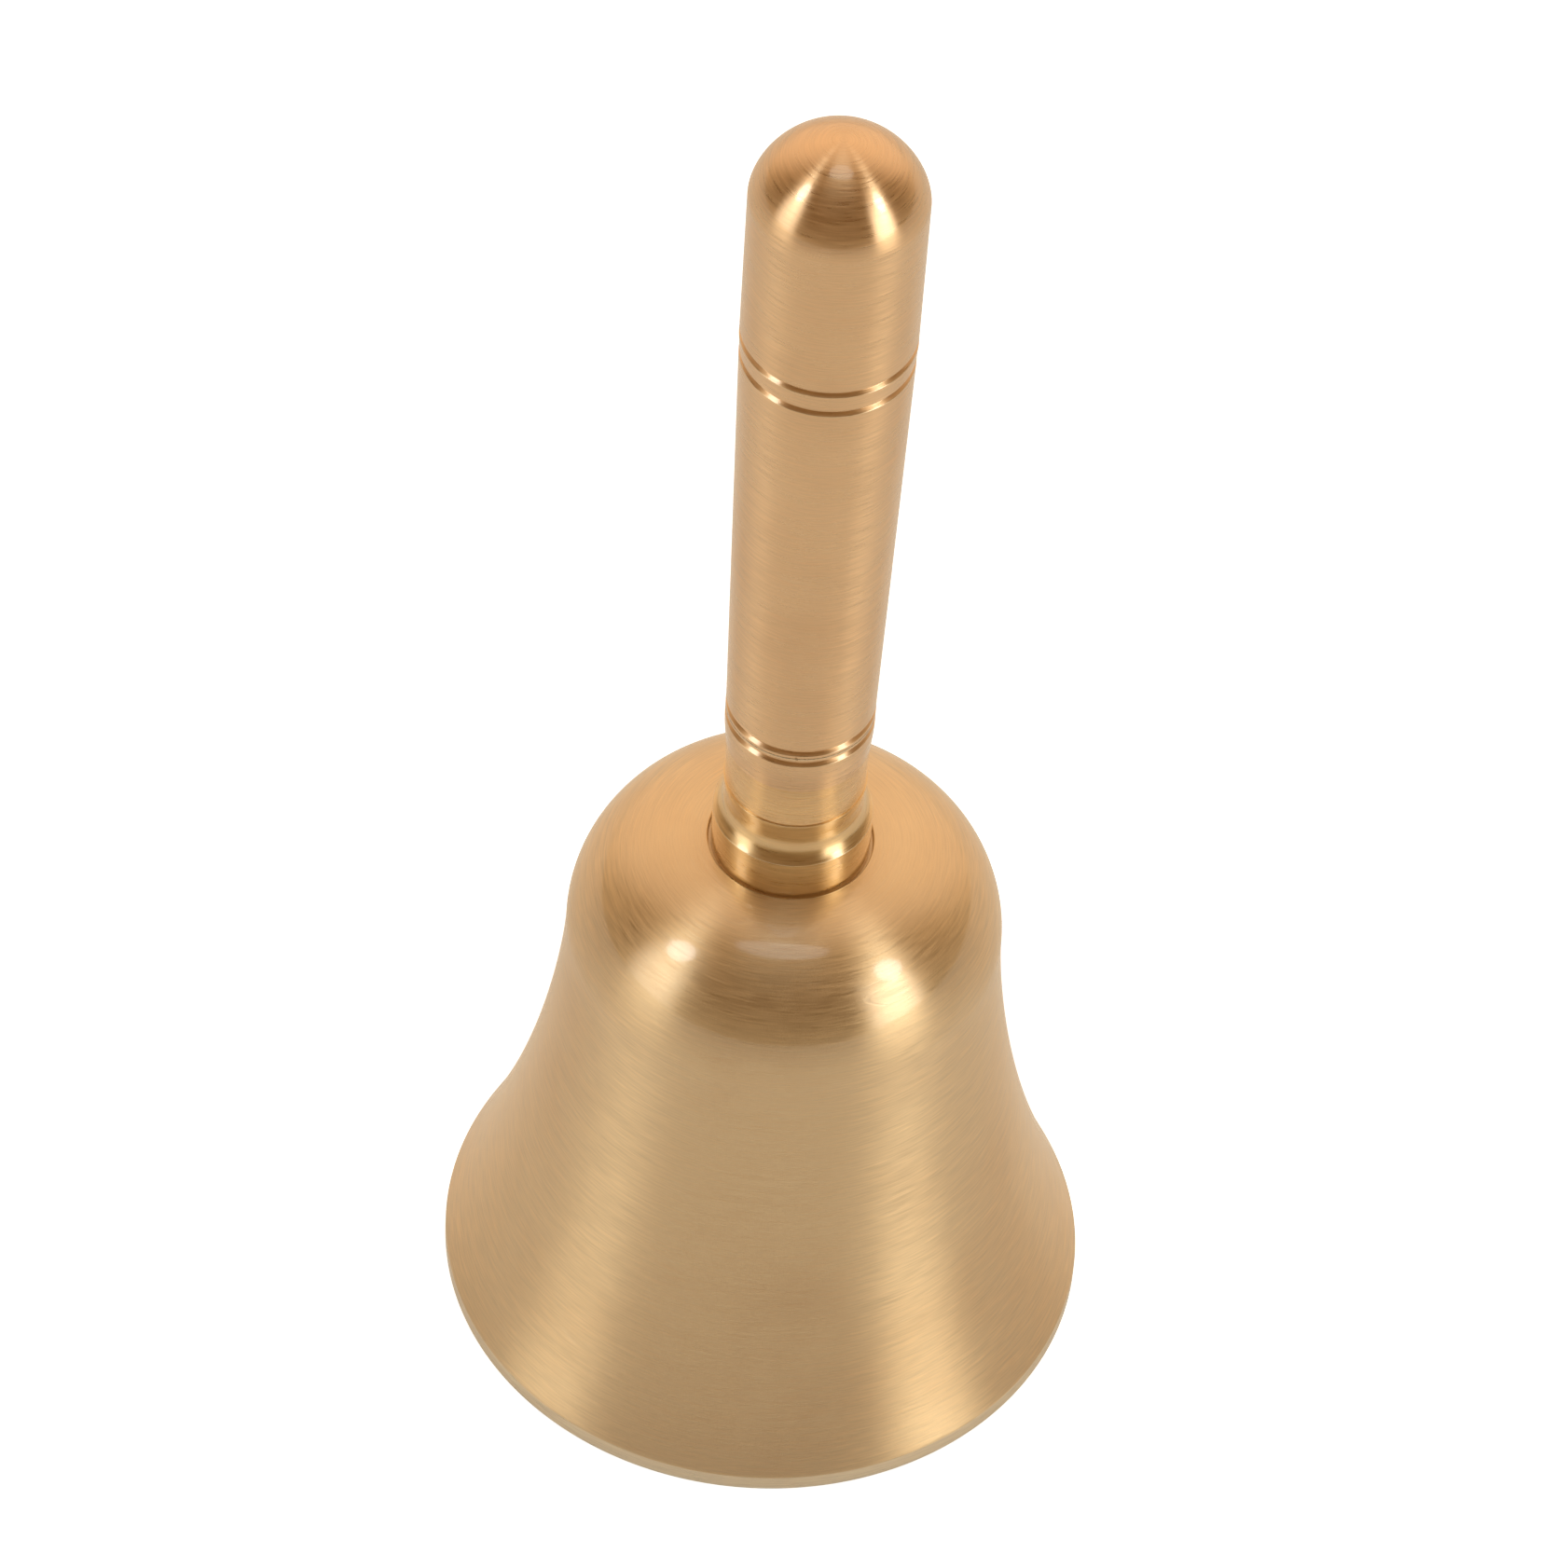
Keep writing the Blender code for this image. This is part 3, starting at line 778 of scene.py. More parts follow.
# The lip band's lighter colour is a painted highlight: it stands in for the bright floor mirrored in the
# band.
LIP_BRASS_PAINTED_HIGHLIGHT = Metal(
    "lip_brass_painted_highlight", "bell_brass", roughness=0.34, anisotropy=0.7, patina=0.2,
    colour=(0.97, 0.83, 0.62), deep=(0.92, 0.74, 0.50), worn=(0.98, 0.88, 0.70),
)
COLLAR_BRASS = Metal(
    "bright_collar_brass", "collar_brass", roughness=0.30, roughness_swing=0.3, anisotropy=0.75,
    colour=(0.92, 0.68, 0.35), deep=(0.84, 0.58, 0.28), worn=(0.97, 0.82, 0.56),
    relief=0.008 * MM, patina=0.2,
)
CLAPPER_BRASS = Metal(
    "turned_clapper_brass", "clapper_brass", roughness=0.28, patina=0.7, lacquer=0.0,
    colour=(0.80, 0.58, 0.29), deep=(0.52, 0.34, 0.15), worn=(0.92, 0.74, 0.44),
)
STRAP_BRASS = Metal(
    "pressed_strap_brass", "clapper_brass", roughness=0.3, anisotropy=0.0, patina=0.7, lacquer=0.0,
    colour=(0.80, 0.58, 0.29), deep=(0.55, 0.37, 0.17), worn=(0.92, 0.74, 0.44), marks=Marks.STRAIGHT,
)
ZINC_STEEL = Metal(
    "zinc_plated_steel", "plated_steel", roughness=0.34, anisotropy=0.0, patina=0.6, lacquer=0.0,
    colour=(0.62, 0.62, 0.60), deep=(0.40, 0.39, 0.35), worn=(0.78, 0.78, 0.77), rings=0.2,
)


# --- Pieces -------------------------------------------------------------------------------------------------


def added(name: str, data: ID) -> Object:
    """A new object of the scene, at the origin."""
    obj = bpy.data.objects.new(name, data)
    bpy.context.scene.collection.objects.link(obj)
    return obj


def piece(mesh: Mesh, metal: Metal, body: str, *nodes: str) -> Object:
    """Puts a finished mesh into the scene as a piece of the bell.

    Args:
        mesh: The mesh, already in its place.
        metal: Its finish.
        body: The CAD body that it rides on.
        *nodes: The CAD nodes that it stands for.

    Returns:
        The object, at the origin, unturned and unscaled.
    """
    obj = added(mesh.name, mesh)
    mesh.materials.append(metal.material())
    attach(obj, body)
    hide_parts(*nodes)
    count, stands_for = len(mesh.polygons), ", ".join(nodes)
    LOG.info("%s: %d faces, rides on %s, stands for %s", obj.name, count, body, stands_for)
    return obj


def dress_band(mesh: Mesh, metal: Metal, low: float, high: float, least_radius: float = 0.0) -> None:
    """Gives a band of a turned mesh a finish of its own: the faces with their centres in it get a second one.

    Args:
        mesh: The turned mesh, which already has its main finish.
        metal: The finish of the band.
        low: Height of the band's foot.
        high: Height of the band's top.
        least_radius: Faces nearer the axis than this keep the main finish.
    """
    centres = np.empty(3 * len(mesh.polygons), np.float32)
    mesh.polygons.foreach_get("center", centres)
    across, along, height = centres.reshape(-1, 3).T
    inside = (height > low) & (height < high) & (np.hypot(across, along) > least_radius)
    mesh.materials.append(metal.material())
    mesh.polygons.foreach_set("material_index", inside.astype(np.int32))


def extent(node: str) -> tuple[float, float, float]:
    """A CAD node's half width along X, and the heights of its foot and its top."""
    low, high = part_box(node)
    return 0.5 * (high.x - low.x), low.z, high.z


@dataclass
class BellShell:
    """The bell: flat crown with a shallow seat for the collar, round shoulder, flared skirt and lip band."""

    shoulder_radius: float = 16.66 * MM
    shoulder_round: float = 10.27 * MM
    upper_pull: float = 3.3 * MM
    lower_pull: float = 17.7 * MM
    inner_lower_pull: float = 18.1 * MM
    flare: float = 24.1 * DEGREE
    wall: float = 2.2 * MM
    band_height: float = 1.6 * MM
    band_round: float = 1.2 * MM
    lip_round: float = 0.45 * MM
    seat_radius: float = 6.28 * MM
    seat_depth: float = 0.5 * MM
    # Sharp enough for the edge effect to paint a bright highlight ring round the seat.
    seat_edge: float = 0.16 * MM
    seat_corner: float = 0.08 * MM
    bore: float = 2.7 * MM
    segments: int = 320
    size: tuple[float, float, float] = field(default_factory=lambda: extent("bell_shell"))

    def skirt(self, top: Point, foot: Point, lower_pull: float, steps: int) -> np.ndarray:
        """The flared wall: a cubic curve, straight down from the shoulder and along the flare at the lip.

        Args:
            top: Its upper end (r, z).
            foot: Its lower end (r, z).
            lower_pull: Length of the lower handle.
            steps: How many chords it has.

        Returns:
            The points (r, z).
        """
        lower = (foot[0] - lower_pull * math.sin(self.flare), foot[1] + lower_pull * math.cos(self.flare))
        return bezier(top, (top[0], top[1] - self.upper_pull), lower, foot, steps)

    def outline(self) -> np.ndarray:
        """The closed outline: seat, crown, shoulder, skirt and lip, and back up the inside to the bore."""
        lip, _, crown = self.size
        centre = (self.shoulder_radius - self.shoulder_round, crown - self.shoulder_round)
        seat = crown - self.seat_depth
        inner_lip = lip - self.wall
        upper = soften([
            (self.bore, seat, 0.0), (self.seat_radius, seat, self.seat_corner),
            (self.seat_radius, crown, self.seat_edge), (centre[0] + 0.3 * MM, crown, 0.0),
        ])
        shoulder = arc(centre, self.shoulder_round, 90.0, 0.0, 72)[2:]
        outer = self.skirt((self.shoulder_radius, centre[1]), (lip, self.band_height), self.lower_pull, 100)
        band = soften([
            (*outer[-6], 0.0), (lip, self.band_height, self.band_round), (lip, 0.0, self.lip_round),
            (inner_lip, 0.0, self.lip_round), (inner_lip, 2.0 * self.lip_round, 0.0),
        ], steps=8)
        inner_top = (self.shoulder_radius - self.wall, centre[1])
        inner = self.skirt(inner_top, (inner_lip, 2.0 * self.lip_round), self.inner_lower_pull, 60)[::-1]
        dome = arc(centre, self.shoulder_round - self.wall, 0.0, 90.0, 32)
        bore_foot = np.array([[self.bore, crown - self.wall]])
        return joined(upper[:-1], shoulder, outer[:-6], band, inner, dome, bore_foot)

    def build(self) -> Object:
        """Makes the shell and dresses it in satin brass, with a painted highlight on the lip band."""
        sheet = Sheet.turned(self.outline(), self.segments, closed=True)
        body = piece(surface_mesh("bell_body", sheet), BELL_BRASS, "bell", "bell_shell")
        dress_band(body.data, LIP_BRASS_PAINTED_HIGHLIGHT, -self.lip_round, self.band_height, self.size[0] - self.lip_round)
        return body


@dataclass
class Collar:
    """The ring between bell and handle: a hollow flare that ends in a crisp edge over a short cylinder."""

    top_radius: float = 5.42 * MM
    cylinder_top: float = 52.4 * MM
    flare: float = 54.0 * DEGREE
    lower_pull: float = 0.48
    upper_pull: float = 0.30
    seat_depth: float = 0.48 * MM
    crisp: float = 0.07 * MM
    foot_round: float = 0.15 * MM
    bore_round: float = 0.1 * MM
    bore: float = 2.3 * MM
    segments: int = 256
    size: tuple[float, float, float] = field(default_factory=lambda: extent("collar"))
    crown: float = field(default_factory=lambda: extent("bell_shell")[2])

    def outline(self) -> np.ndarray:
        """The closed outline, down the flare and the cylinder, into the crown's seat and up the bore."""
        radius, _, top = self.size
        height = top - self.cylinder_top
        pull = self.lower_pull * height
        lower = (radius - pull * math.sin(self.flare), self.cylinder_top + pull * math.cos(self.flare))
        upper = (self.top_radius, top - self.upper_pull * height)
        flare = bezier((self.top_radius, top), upper, lower, (radius, self.cylinder_top), 40)
        foot = self.crown - self.seat_depth
        base = soften([
            (*flare[-3], 0.0), (radius, self.cylinder_top, self.crisp), (radius, foot, self.foot_round),
            (self.bore, foot, self.bore_round), (self.bore, top, 0.0),
        ])
        return joined(flare[:-3], base)

    def build(self) -> Object:
        """Makes the collar and dresses it in bright brass."""
        sheet = Sheet.turned(self.outline(), self.segments, closed=True)
        return piece(surface_mesh("collar_ring", sheet), COLLAR_BRASS, "bell", "collar")


@dataclass
class Handle:
    """The turned handle: a rounded end, a slight taper, two pairs of grooves and a hollowed neck."""

    head_radius: float = 6.5 * MM
    dome_base: float = 117.3 * MM
    dome_exponent: float = 1.68
    tip_radius: float = 1.9 * MM
    head_foot_radius: float = 6.44 * MM
    shaft_top_radius: float = 6.38 * MM
    shaft_foot_radius: float = 5.61 * MM
    neck_radius: float = 5.34 * MM
    neck_height: float = 57.6 * MM
    groove_heights: tuple[float, ...] = (104.0 * MM, 102.0 * MM, 64.6 * MM, 63.4 * MM)
    groove_half_width: float = 0.32 * MM
    groove_depth: float = 0.28 * MM
    groove_rim: float = 0.07 * MM
    foot_round: float = 0.06 * MM
    # Reach of the neck band above the neck: smoother brass, tinted warmer as a painted reflection.
    smooth_neck: float = 2.6 * MM
    segments: int = 256
    size: tuple[float, float, float] = field(default_factory=lambda: extent("handle"))
    foot: float = field(default_factory=lambda: extent("collar")[2])

    def dome(self, steps: int) -> np.ndarray:
        """The rounded end: a superellipse quarter. Radius and rise are the cosine and the sine of an even run
        of angles, each to the power of 2 over the exponent. Inside the tip radius it is an even bowl.

        Args:
            steps: How many chords it has.

        Returns:
            The points (r, z), from the tip down.
        """
        rise = self.size[2] - self.dome_base
        angle = np.linspace(0.5 * math.pi, 0.0, steps + 1)
        power = 2.0 / self.dome_exponent
        across = self.head_radius * np.clip(np.cos(angle), 0.0, 1.0) ** power
        across[0] = 0.0
        height = self.dome_base + rise * np.sin(angle) ** power
        edge = int(np.searchsorted(across, self.tip_radius))
        fall = (height[edge - 1] - height[edge]) / (across[edge] ** 2 - across[edge - 1] ** 2)
        height[:edge] = height[edge] + fall * (across[edge] ** 2 - across[:edge] ** 2)
        return np.stack([across, height], axis=1)

    def groove(self, radius: float, height: float) -> np.ndarray:
        """One turned groove with rounded rims and a rounded bottom.

        Args:
            radius: The handle's radius there.
            height: Height of the groove's middle.

        Returns:
            The points (r, z), top to bottom.
        """
        half, rim, floor = self.groove_half_width, self.groove_rim, radius - self.groove_depth
        upper = [
            (radius, height + 2.0 * half, 0.0), (radius, height + half, rim),
            (floor, height + 0.3 * half, rim),
        ]
        lower = [
            (floor, height - 0.3 * half, rim),
            (radius, height - half, rim), (radius, height - 2.0 * half, 0.0),
        ]
        return soften(upper + lower)

    def outline(self) -> np.ndarray:
        """The outline from the top of the rounded end down to the foot that stands on the collar."""
        upper, second, third, lowest = self.groove_heights
        foot_radius = self.shaft_foot_radius
        grooves = [
            self.groove(self.head_foot_radius, upper), self.groove(self.shaft_top_radius, second),
            self.groove(foot_radius, third), self.groove(foot_radius, lowest),
        ]
        last = grooves[-1][-1]
        drop = last[1] - self.neck_height
        neck_top = (self.neck_radius, self.neck_height)
        pulls = (last[0], last[1] - 0.3 * drop), (neck_top[0], neck_top[1] + 0.5 * drop)
        hollow = bezier(tuple(last), *pulls, neck_top, 24)
        edge = (self.neck_radius, self.foot, self.foot_round)
        foot = soften([(*neck_top, 0.0), edge, (0.0, self.foot, 0.0)])
        head = straight((self.head_radius, self.dome_base), tuple(grooves[0][0]), 12)
        shaft = straight(tuple(grooves[1][-1]), tuple(grooves[2][0]), 24)
        return joined(self.dome(64), head, *grooves[:2], shaft, *grooves[2:], hollow, foot)

    def build(self) -> Object:
        """Makes the handle and dresses it in warm brass; the neck band's tint is a painted reflection."""
        sheet = Sheet.turned(self.outline(), self.segments)
        handle = piece(surface_mesh("turned_handle", sheet), HANDLE_BRASS, "bell", "handle")
        dress_band(handle.data, NECK_BRASS_PAINTED_REFLECTION, self.foot, self.neck_height + self.smooth_neck)
        return handle


@dataclass
class Suspension:
    """What hangs the clapper and clamps the crown: headed stud, flat and split washer, and hexagonal nut."""

    thread_pitch: float = 0.8 * MM
    thread_depth: float = 0.42 * MM
    stud_radius: float = 2.4 * MM
    head_height: float = 1.5 * MM
    chamfer: float = 0.5 * MM
    nut_flats: float = 8.0 * MM
    split: float = 14.0 * DEGREE
    split_lean: float = 0.35
    segments: int = 96

    def stud(self) -> Object:
        """The stud, threaded above the journal that the yoke turns on, with a chamfered round head."""
        head_radius, foot, top = extent("suspension_stud")
        head_top = foot + self.head_height
        nut_foot = extent("crown_nut")[1]
        radius, shoulder = self.stud_radius, top - self.chamfer
        blank = joined(
            soften([(0.0, top, 0.0), (radius - self.chamfer, top, 0.1 * MM), (radius, shoulder, 0.0)]),
            straight((radius, shoulder), (radius, head_top + 0.1 * MM), 420),
            soften([
                (radius, head_top + 0.1 * MM, 0.0), (radius, head_top, 0.0),
                (head_radius, head_top, 0.12 * MM), (head_radius, foot + 0.4 * MM, 0.2 * MM),
                (head_radius - 0.4 * MM, foot, 0.2 * MM), (0.0, foot, 0.0),
            ]),
        )
        cut_foot = nut_foot - 0.4 * MM
        sheet = threaded(blank, self.segments, self.thread_pitch, self.thread_depth, cut_foot, top)
        return piece(surface_mesh("headed_stud", sheet), ZINC_STEEL, "bell", "suspension_stud")

    def section(self, node: str, top: float, soft: float, steps: int = 5) -> np.ndarray:
        """A washer's softened square section, from the stud to the node's radius and from its foot to a top.

        Args:
            node: The washer's CAD node.
            top: Height of its upper face.
            soft: Radius of its edges.
            steps: How many chords each edge has.

        Returns:
            The closed outline (r, z).
        """
        radius, foot, _ = extent(node)
        inner = self.stud_radius
        corners = [(radius, top, soft), (radius, foot, soft), (inner, foot, soft), (inner, top, soft)]
        return soften(corners, closed=True, steps=steps)

    def washer(self) -> Object:
        """The flat washer, its upper face against the crown."""
        top = extent("bell_shell")[2] - BellShell.wall + BITE
        sheet = Sheet.turned(self.section("crown_washer", top, 0.15 * MM), self.segments, closed=True)
        return piece(surface_mesh("flat_washer", sheet), ZINC_STEEL, "bell", "crown_washer")

    def lock_washer(self) -> Object:
        """The split spring washer: a softened square section carried round the stud, with a slanted split.

        A point's angle is its share of the open ring's sweep, plus a lean in proportion to its height.
        """
        foot = extent("lock_washer")[1]
        top = extent("crown_washer")[1] + BITE
        section = self.section("lock_washer", top, 0.12 * MM, steps=3)
        share = np.linspace(0.0, 1.0, self.segments)
        lean = self.split_lean * (section[:, 1] - foot) / (top - foot)
        angle = share[None, :] * (2.0 * math.pi - self.split) + lean[:, None]
        radius, height = section[:, :1], section[:, 1:] + 0.0 * angle
        co = np.stack([radius * np.cos(angle), radius * np.sin(angle), height], axis=2)
        mesh = tube_mesh("split_washer", co.transpose(1, 0, 2)[::-1])
        return piece(mesh, ZINC_STEEL, "bell", "lock_washer")

    def nut(self) -> Object:
        """The hexagonal nut that clamps the crown against the collar."""
        foot = extent("crown_nut")[1]
        top = extent("lock_washer")[1] + BITE
        sheet = hex_nut_sheet(self.nut_flats, foot, top, self.stud_radius - 0.1 * MM)
        return piece(surface_mesh("clamp_nut", sheet), ZINC_STEEL, "bell", "crown_nut")

    def build(self) -> list[Object]:
        """Makes every piece of the stack under the crown."""
        return [self.stud(), self.washer(), self.lock_washer(), self.nut()]


def tube_mesh(name: str, rings: np.ndarray) -> Mesh:
    """A closed tube through rings of points (ring, point, xyz), with a flat cap at both ends.

    The "lathe" attribute is the vertex's own place.

    Args:
        name: The mesh's name.
        rings: The points. From ring to ring and then from point to point is a turn that faces outwards.

    Returns:
        The mesh.
    """
    count, around, _ = rings.shape
    grid = np.arange(count * around).reshape(count, around)
    here, ahead = grid[:-1], grid[1:]
    quads = np.stack([here, ahead, np.roll(ahead, -1, axis=1), np.roll(here, -1, axis=1)], axis=2)
    faces = quads.reshape(-1, 4).tolist() + [grid[0].tolist(), grid[-1][::-1].tolist()]
    points = rings.reshape(-1, 3)
    mesh = bpy.data.meshes.new(name)
    mesh.from_pydata(points.tolist(), [], faces)
    store(mesh, "lathe", points)
    mesh.validate()
    mesh.shade_smooth()
    mesh.set_sharp_from_angle(angle=CREASE)
    return mesh


def drilled(mesh: Mesh, holes: Sequence[Mesh]) -> Mesh:
    """A mesh with holes cut through it by exact Booleans.

    Args:
        mesh: The blank, which is removed.
        holes: The drills, which are removed from the scene.

    Returns:
        The cut mesh, under the blank's name.
    """
    blank = added("blank", mesh)
    drills = []
    for hole in holes:
        drill = added(hole.name, hole)
        modifier = blank.modifiers.new(hole.name, "BOOLEAN")
        modifier.operation = "DIFFERENCE"
        modifier.solver = "EXACT"
        modifier.object = drill
        drills.append(drill)
    bpy.context.view_layer.update()
    evaluated = blank.evaluated_get(bpy.context.evaluated_depsgraph_get())
    made = bpy.data.meshes.new_from_object(evaluated)
    for obj in [blank, *drills]:
        bpy.data.objects.remove(obj)
    name = mesh.name
    bpy.data.meshes.remove(mesh)
    made.name = name
    made.shade_smooth()
    made.set_sharp_from_angle(angle=CREASE)
    return made


@dataclass
class Yoke:
    """The strap bent to an upside-down U that turns on the stud, with the headed pin across its cheeks."""

    thickness: float = 1.3 * MM
    pin_radius: float = 1.0 * MM
    pin_head_radius: float = 1.7 * MM
    stud_hole: float = 2.55 * MM
    bend: float = 1.5 * MM
    corner_power: float = 8.0
    pin_drill: float = 12.0 * MM
    stud_drill: float = 4.0 * MM
    pivot: float = 32.0 * MM
    segments: int = 64

    def path(self) -> tuple[np.ndarray, np.ndarray]:
        """The strap's middle line across Y, from foot to foot over the bridge, and its half width there.

        The line is straight, with a quarter circle at both bends. The half width is that of the strap, and
        near a foot the half chord of the circle about the pin.
        """
        low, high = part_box("clapper_yoke")
        side = high.y - 0.5 * self.thickness
        crest = high.z - 0.5 * self.thickness
        half_width = high.x
        round_part = self.pivot - half_width * np.cos(np.linspace(0.02, 0.5 * math.pi, 28))
        cheek = np.stack([np.full(28, side), round_part], axis=1)
        corner = arc((side - self.bend, crest - self.bend), self.bend, 0.0, 90.0, 14)
        half = np.vstack([cheek, corner])
        line = np.vstack([half, half[::-1] * np.array([-1.0, 1.0])])
        below = np.clip((self.pivot - line[:, 1]) / half_width, 0.0, 1.0)
        return line, half_width * np.sqrt(1.0 - below**2)

    def strap(self) -> Object:
        """The strap: a rounded rectangle, which is a superellipse of power 8, carried along the middle line.

        Across the strap a point lies at the half width times the superellipse's cosine along X, and at half
        the thickness times its sine along the line's normal.
        """
        line, half_width = self.path()
        tangent = np.gradient(line, axis=0)
        tangent /= np.linalg.norm(tangent, axis=1, keepdims=True)
        normal = np.stack([-tangent[:, 1], tangent[:, 0]], axis=1)
        angle = np.arange(self.segments) * (2.0 * math.pi / self.segments)
        power = 2.0 / self.corner_power
        across = np.sign(np.cos(angle)) * np.abs(np.cos(angle)) ** power
        through = np.sign(np.sin(angle)) * np.abs(np.sin(angle)) ** power
        x = half_width[:, None] * across[None, :]
        offset = 0.5 * self.thickness * through[None, :, None] * normal[:, None, :]
        y_z = line[:, None, :] + offset
        rings = np.concatenate([x[:, :, None], y_z], axis=2)
        blank = tube_mesh("bent_strap", rings)
        crest = Matrix.Translation((0.0, 0.0, line[:, 1].max()))
        drills = [
            self.drill("pin_hole", self.pin_radius + 0.1 * MM, self.pin_drill, self.across(self.pivot)),
            self.drill("stud_hole", self.stud_hole, self.stud_drill, crest),
        ]
        return piece(drilled(blank, drills), STRAP_BRASS, "yoke", "clapper_yoke")

    @staticmethod
    def across(height: float) -> Matrix:
        """Lays an axis along Y at a height."""
        return Matrix.Translation((0.0, 0.0, height)) @ Matrix.Rotation(90.0 * DEGREE, 4, "X")

    @staticmethod
    def drill(name: str, radius: float, length: float, axis: Matrix) -> Mesh:
        """A plain cylinder for cutting a hole.

        Args:
            name: The mesh's name.
            radius: The hole's radius.
            length: The drill's length.
            axis: Takes the drill from the origin, along +Z, to its place.

        Returns:
            The mesh.
        """
        half = 0.5 * length
        outline = np.array([(0.0, half), (radius, half), (radius, -half), (0.0, -half)])
        return surface_mesh(name, Sheet.turned(outline, 64), axis)

    def pin(self) -> Object:
        """The pin, with a low domed head at both ends against the cheeks."""
        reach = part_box("clapper_pin")[1].y
        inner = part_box("clapper_yoke")[1].y
        head, shank, rim = self.pin_head_radius, self.pin_radius, inner + 0.3 * MM
        crown = bezier((0.0, reach), (0.55 * head, reach), (head, reach - 0.1 * MM), (head, rim), 14)
        half = joined(crown, soften([(head, rim, 0.0), (head, inner, 0.1 * MM), (shank, inner, 0.0)]))
        outline = joined(half, half[::-1] * np.array([1.0, -1.0]))
        mesh = surface_mesh("cross_pin", Sheet.turned(outline, self.segments), self.across(self.pivot))
        return piece(mesh, ZINC_STEEL, "yoke", "clapper_pin")

    def build(self) -> list[Object]:
        """Makes the strap and its pin."""
        return [self.strap(), self.pin()]


@dataclass
class Clapper:
    """What swings: a rod with a cross hub, the ball on its end and the nut that locks the ball."""

    hub_radius: float = 2.3 * MM
    hub_half: float = 3.0 * MM
    hub_bore: float = 1.08 * MM
    rod_radius: float = 1.2 * MM
    ball_radius: float = 5.6 * MM
    nut_flats: float = 5.0 * MM
    thread_pitch: float = 0.45 * MM
    thread_depth: float = 0.22 * MM
    thread_reach: float = 3.6 * MM
    pivot: float = 32.0 * MM
    segments: int = 96

    def hub(self) -> Object:
        """The cross hub that turns on the pin: a short tube with rounded rims along Y."""
        soft, fine = 0.25 * MM, 0.1 * MM
        outer, bore, half = self.hub_radius, self.hub_bore, self.hub_half
        corners = [(outer, half, soft), (outer, -half, soft), (bore, -half, fine), (bore, half, fine)]
        sheet = Sheet.turned(soften(corners, closed=True), self.segments, closed=True)
        mesh = surface_mesh("clapper_hub", sheet, Yoke.across(self.pivot))
        return piece(mesh, CLAPPER_BRASS, "clapper", "clapper_rod")

    def rod(self) -> Object:
        """The rod, threaded where the ball and its nut go on, with its upper end in the hub's wall."""
        _, foot, _ = extent("clapper_rod")
        top = self.pivot - 0.5 * (self.hub_radius + self.hub_bore)
        nut_top = extent("ball_jam_nut")[2]
        thread_top = nut_top + self.thread_reach
        radius = self.rod_radius
        blank = joined(
            np.array([(0.0, top), (radius, top)]),
            straight((radius, top), (radius, thread_top), 24),
            straight((radius, thread_top), (radius, foot), 300),
            np.array([(0.0, foot)]),
        )
        sheet = threaded(blank, 64, self.thread_pitch, self.thread_depth, foot, thread_top)
        return piece(surface_mesh("clapper_shank", sheet), CLAPPER_BRASS, "clapper", "clapper_rod")

    def ball(self) -> Object:
        """The striking ball, faced flat where the nut sits."""
        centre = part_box("clapper_ball")[0].z + self.ball_radius
        face = extent("clapper_ball")[2]
        rim = math.degrees(math.asin((face - centre) / self.ball_radius))
        bore = self.rod_radius - 0.1 * MM
        edge = self.ball_radius * math.cos(rim * DEGREE)
        outline = joined(
            np.array([(0.0, centre), (bore, centre), (bore, face)]),
            straight((bore, face), (edge, face), 2),
            arc((0.0, centre), self.ball_radius, rim, -90.0, 96),
        )
        outline[-1, 0] = 0.0
        sheet = Sheet.turned(outline, 192)
        return piece(surface_mesh("striking_ball", sheet), CLAPPER_BRASS, "clapper", "clapper_ball")

    def nut(self) -> Object:
        """The thin nut screwed down on the ball."""
        _, _, top = extent("ball_jam_nut")
        foot = extent("clapper_ball")[2] - BITE
        sheet = hex_nut_sheet(self.nut_flats, foot, top, self.rod_radius - 0.1 * MM)
        return piece(surface_mesh("jam_nut", sheet), ZINC_STEEL, "clapper", "ball_jam_nut")

    def build(self) -> list[Object]:
        """Makes every piece of the clapper."""
        return [self.hub(), self.rod(), self.ball(), self.nut()]


# --- Stage --------------------------------------------------------------------------------------------------


@dataclass(frozen=True)
class SoftBox:
    """A studio light with an oval face that looks at the bell.

    Attributes:
        name: The light's name.
        azimuth: Direction from the bell in degrees, from +X towards +Y.
        elevation: Height above the horizon in degrees.
        width: Width in metres.
        height: Height in metres.
        power: Power in watts.
        distance: How far it stands from the bell.
        warmth: Colour of the light.
    """

    name: str
    azimuth: float
    elevation: float
    width: float
    height: float
    power: float
    distance: float = 1.2
    warmth: Colour = (1.0, 0.98, 0.95)

    def build(self, target: Vector) -> Object:
        """Hangs the light and turns it to the target.

        Args:
            target: The point that it looks at.

        Returns:
            The light's object.
        """
        light = bpy.data.lights.new(self.name, "AREA")
        light.shape = "ELLIPSE"
        light.size = self.width
        light.size_y = self.height
        light.energy = self.power
        light.color = self.warmth
        obj = added(self.name, light)
        a, e = self.azimuth * DEGREE, self.elevation * DEGREE
        away = Vector((math.cos(a) * math.cos(e), math.sin(a) * math.cos(e), math.sin(e)))
        obj.location = target + self.distance * away
        obj.rotation_euler = away.to_track_quat("Z", "Y").to_euler()
        obj.visible_camera = False
        return obj


